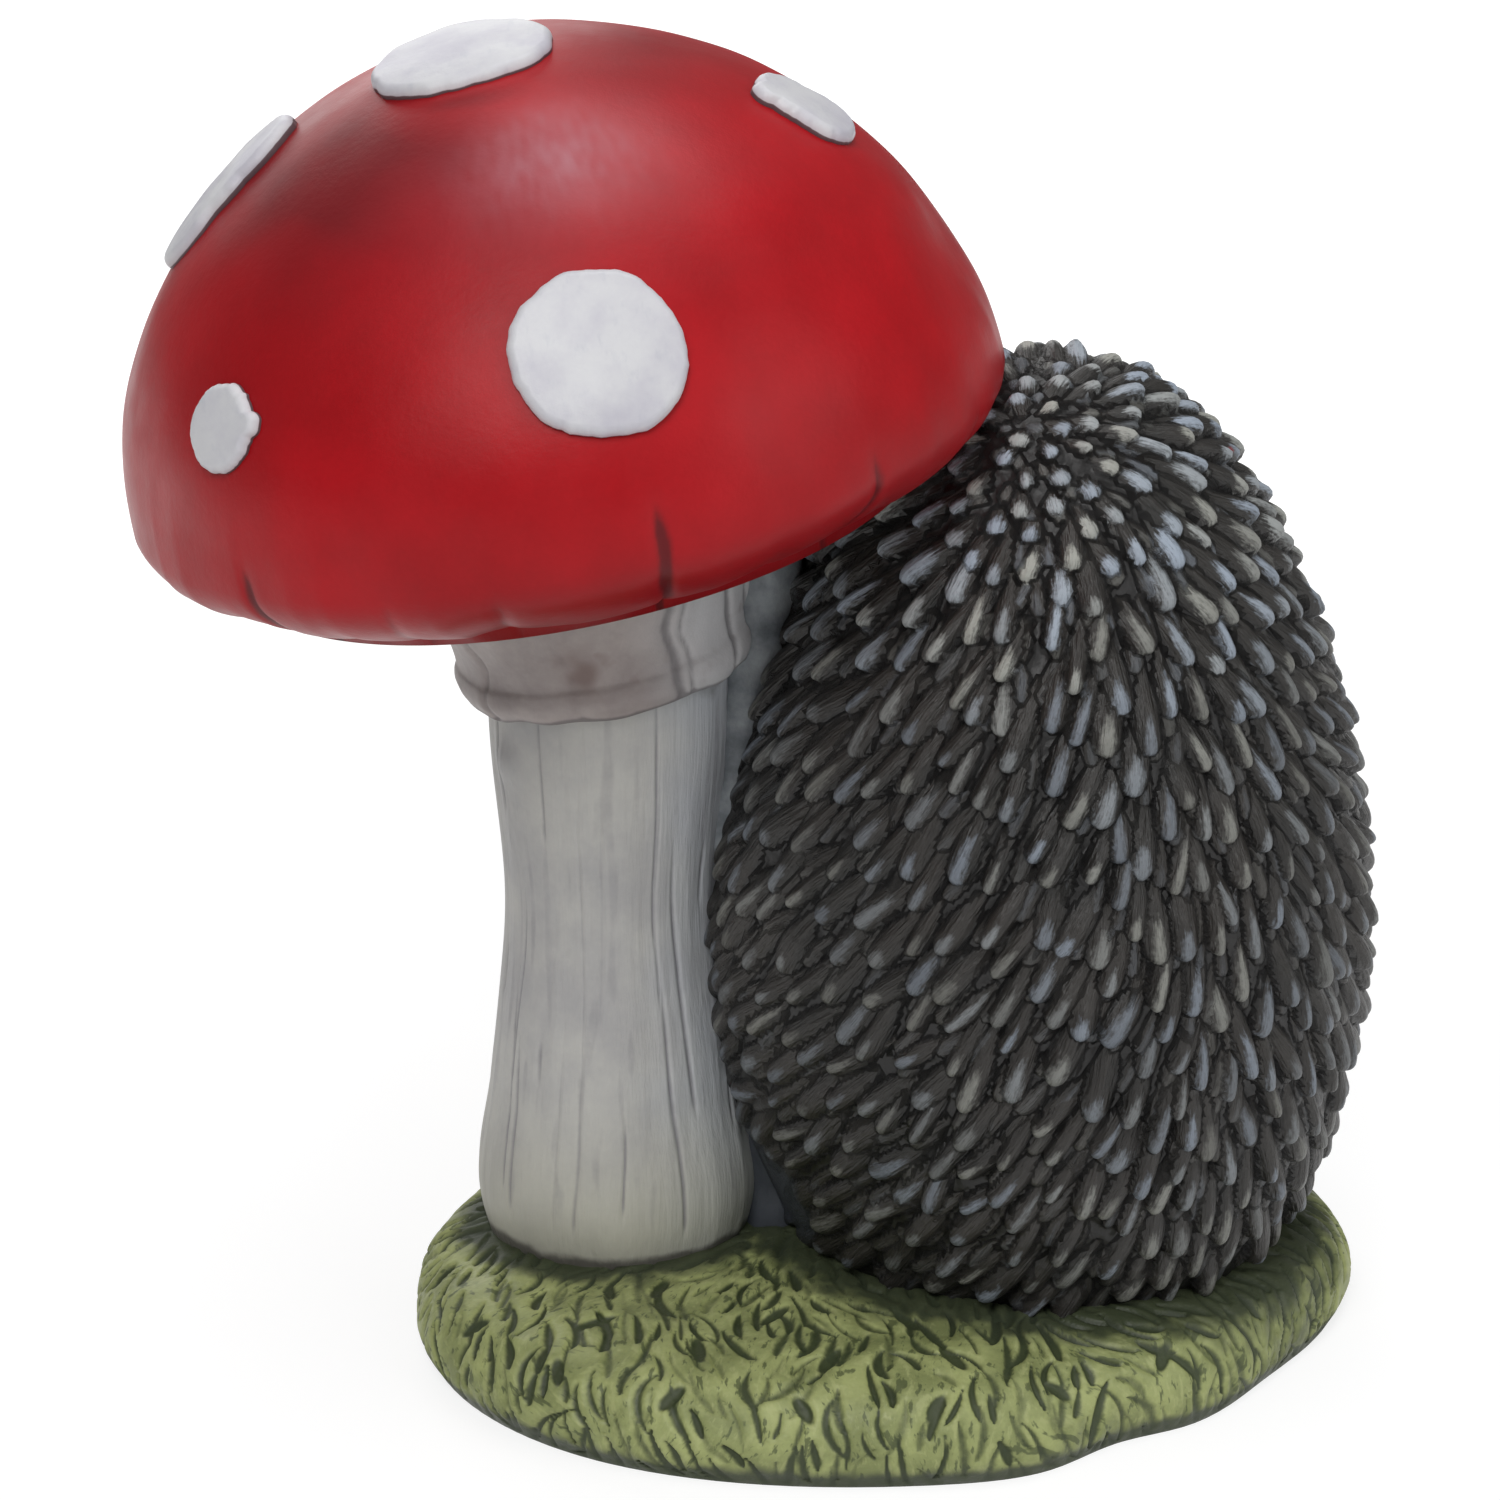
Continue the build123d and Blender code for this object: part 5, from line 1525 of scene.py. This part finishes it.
# Drops run together into one closed mesh without seams
def fuseDrops(name, drops, voxel):
    points, faces = [], []
    for drop in drops:
        dropPoints, dropFaces = dropMesh(*drop)
        faces += [[i + len(points) for i in face] for face in dropFaces]
        points += dropPoints.tolist()
    mesh = bpy.data.meshes.new(name)
    mesh.from_pydata(points, [], faces)
    piece = placeObject(name, mesh)
    fuse = piece.modifiers.new("fuse", "REMESH")
    fuse.mode = "VOXEL"
    fuse.voxel_size = voxel
    soften = piece.modifiers.new("soften", "SMOOTH")
    soften.iterations = 3
    fused = modifiedMesh(piece)
    bpy.data.objects.remove(piece)
    bpy.data.meshes.remove(mesh)
    fusedPoints, fusedNormals = meshArrays(fused)
    fusedFaces = [list(face.vertices) for face in fused.polygons]
    bpy.data.meshes.remove(fused)
    return fusedPoints, fusedNormals, fusedFaces


def makeArms():
    armPaint = makeFurMaterial("armPaint", *limbs["paint"])
    for side, sideName in sides:
        shoulder = sidePlace(limbs["shoulder"], side)
        hand = sidePlace(limbs["hand"], side)
        along = unit((hand - shoulder)[None])[0]
        outward = np.array([0, 1.0, 0])
        spread = np.cross(along, outward)
        wrist = shoulder + (hand - shoulder) * 0.78
        wristRadius = limbs["handRadius"] * 0.86
        drops = [(shoulder, wrist, limbs["shoulderRadius"] * 0.96, wristRadius),
                 (wrist, hand, wristRadius, limbs["handRadius"] * 0.88)]
        for finger in (-1.5, -0.5, 0.5, 1.5):
            knuckle = hand + spread * finger * limbs["fingerGap"] + outward * 1.6
            tip = knuckle + along * (4.0 - 0.35 * abs(finger)) - outward * 0.3
            drops.append((knuckle, tip, 1.25, 0.95))
        points, normals, faces = fuseDrops(f"arm_{sideName}", drops, limbs["voxel"])
        reach = (points - shoulder) @ along / np.linalg.norm(hand - shoulder)
        fur, shown = layFur(points, normals, tangentFlow(normals, along), smoothStep(0.85, 0.6, reach),
                            limbs["furSpacing"], limbs["fur"], 41 + side)
        newPiece(f"hedgehogArm_{sideName}", points + normals * fur[:, None], faces, armPaint,
                 [f"arm_{sideName}"], {**shown, "shade": smoothStep(0.95, 1.25, reach) * 0.45})


def makeFoot(side, sideName, skinPaint):
    heel = sidePlace(limbs["heel"], side)
    toe = heel + np.array([0, limbs["footLength"], 0])
    drops = [(heel, toe, limbs["heelRadius"] * 0.97, limbs["toeRadius"] * 0.86)]
    for number in (-1.5, -0.5, 0.5, 1.5):
        knuckle = toe + np.array([number * limbs["toeGap"], 1.6 - 0.35 * abs(number), -0.6])
        drops.append((knuckle, knuckle + np.array([number * 0.25, 2.0, -0.5]), 1.7, 1.35))
    points, _, faces = fuseDrops(f"foot_{sideName}", drops, limbs["voxel"])
    points[:, 2] = np.maximum(points[:, 2], heel[2] - limbs["heelRadius"] * 0.9)
    between = ((points[:, 0] - toe[0]) / limbs["toeGap"]) % 1
    ahead = smoothStep(toe[1] + 1, toe[1] + 3, points[:, 1])
    shade = bell(np.minimum(between, 1 - between), 0.16) * ahead * 0.8
    newPiece(f"hedgehogFoot_{sideName}", points, faces, skinPaint, [f"foot_{sideName}"],
             {"shade": shade})


# A flattened ball, hollowed in front
def makeEar(side, sideName, skinPaint):
    yaw = math.radians(limbs["earTurn"])
    facing = np.array([side * math.sin(yaw), math.cos(yaw), 0])
    across = np.cross(facing, np.array([0, 0, 1.0]))
    directions, faces = roundMesh(6)
    rim = np.hypot(directions[:, 0], directions[:, 2])
    front = directions[:, 1] > 0
    lift = directions[:, 1] * limbs["earThickness"] * 0.475
    lift -= front * 1.5 * (1 - smoothStep(0.35, 0.9, rim)) + 0.36 * rim ** 2
    size = limbs["earRadius"] * 0.985
    points = (sidePlace(limbs["ear"], side) + np.outer(directions[:, 0] * size, across)
              + np.outer(directions[:, 2] * size, [0, 0, 1.0]) + np.outer(lift, facing))
    newPiece(f"hedgehogEar_{sideName}", points, faces, skinPaint, [f"ear_{sideName}"],
             {"shade": front * (1 - smoothStep(0.3, 0.8, rim)) * 0.85})


def makeFeetAndEars():
    skinPaint = makeSkinMaterial()
    for side, sideName in sides:
        makeFoot(side, sideName, skinPaint)
        makeEar(side, sideName, skinPaint)


print("frame", len(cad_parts))
makeGrassMound()
print("mound made")
makeCap()
makeSpots()
print("cap made")
makeStem()
makeRing()
makeWebs()
makeGills()
print("stem made")
makeQuillCoat()
print("coat made")
makeHead()
makeBelly()
makeArms()
makeFeetAndEars()
print("face and limbs made")

# FLOOR, LIGHT AND CAMERA
studio = {
    "cameraPlace": (-95.89, -404.21, 205.77),
    "cameraTarget": (-22.03, -24.24, 80.0),
    "lens": 90.0,
    "floorSize": 4.0,
    "floorPaint": (0.82, 0.82, 0.82, 1),
    "floorShare": 0.6,
    "floorGlow": 1.3,
    "shadowReach": (0.16, 0.5),
    "worldLight": 0.19,
    "lampTarget": (0, 0, 70),
    "lamps": [
        ("key", (-260.0, -520.0, 620.0), 0.42, 2.6),
        ("fill", (420.0, -420.0, 330.0), 0.5, 0.95),
        ("top", (30.0, 60.0, 760.0), 0.5, 1.6),
        ("back", (-120.0, 620.0, 420.0), 0.5, 1.2),
    ],
}


def aimAt(holder, target):
    holder.rotation_euler = (target - holder.location).to_track_quat("-Z", "Y").to_euler()


# The floor shows as white, and a share of its own shading keeps the object's shadow
def makeFloorMaterial():
    material = bpy.data.materials.new("floorWhite")
    material.use_nodes = True
    make = Nodes(material.node_tree)
    make.tree.nodes.clear()
    diffuse = make.feedAll(make.add("ShaderNodeBsdfDiffuse"), studio["floorPaint"])
    glow = make.feedAll(make.add("ShaderNodeEmission"), (1, 1, 1, 1), studio["floorGlow"])
    rays = make.add("ShaderNodeLightPath").outputs
    seen = make.maths("MAXIMUM", rays["Is Camera Ray"], rays["Is Glossy Ray"])
    seen = make.maths("MAXIMUM", seen, rays["Is Transmission Ray"])
    away = make.feedAll(make.add("ShaderNodeVectorMath", operation="LENGTH"), make.place())["Value"]
    white = make.ramp(away, *studio["shadowReach"], studio["floorShare"], 1.0)
    share = make.maths("MULTIPLY", seen, white)
    blend = make.feedAll(make.add("ShaderNodeMixShader"), share, diffuse[0], glow[0])
    make.join(blend[0], make.add("ShaderNodeOutputMaterial").inputs[0])
    return material


# The world lights the object dimly and shows as white
def makeWorld():
    world = bpy.data.worlds.new("studioWorld")
    bpy.context.scene.world = world
    world.use_nodes = True
    make = Nodes(world.node_tree)
    make.tree.nodes.clear()
    dim, white = (make.feedAll(make.add("ShaderNodeBackground"), (1, 1, 1, 1), strength)[0]
                  for strength in (studio["worldLight"], 1.0))
    path = make.add("ShaderNodeLightPath")
    mixed = make.feedAll(make.add("ShaderNodeMixShader"), path.outputs["Is Camera Ray"], dim, white)
    make.join(mixed[0], make.add("ShaderNodeOutputWorld").inputs[0])


def makeStudio():
    half = studio["floorSize"] / 2
    floorMesh = bpy.data.meshes.new("floor")
    corners = [(-half, -half, 0), (half, -half, 0), (half, half, 0), (-half, half, 0)]
    floorMesh.from_pydata(corners, [], [[0, 1, 2, 3]])
    floor = placeObject("floor", floorMesh)
    floorMesh.materials.append(makeFloorMaterial())
    makeWorld()
    for name, place, size, power in studio["lamps"]:
        lamp = bpy.data.lights.new(name, "AREA")
        lamp.shape = "DISK"
        lamp.size = size
        lamp.energy = power
        holder = placeObject(name, lamp)
        holder.location = Vector(place) * mm
        aimAt(holder, Vector(studio["lampTarget"]) * mm)
    camera = placeObject("camera", bpy.data.cameras.new("camera"))
    camera.location = Vector(studio["cameraPlace"]) * mm
    aimAt(camera, Vector(studio["cameraTarget"]) * mm)
    camera.data.lens = studio["lens"]
    camera.data.sensor_width = 36.0
    camera.data.clip_start = 0.01
    bpy.context.scene.camera = camera
    bpy.context.scene.view_settings.view_transform = "Standard"


makeStudio()
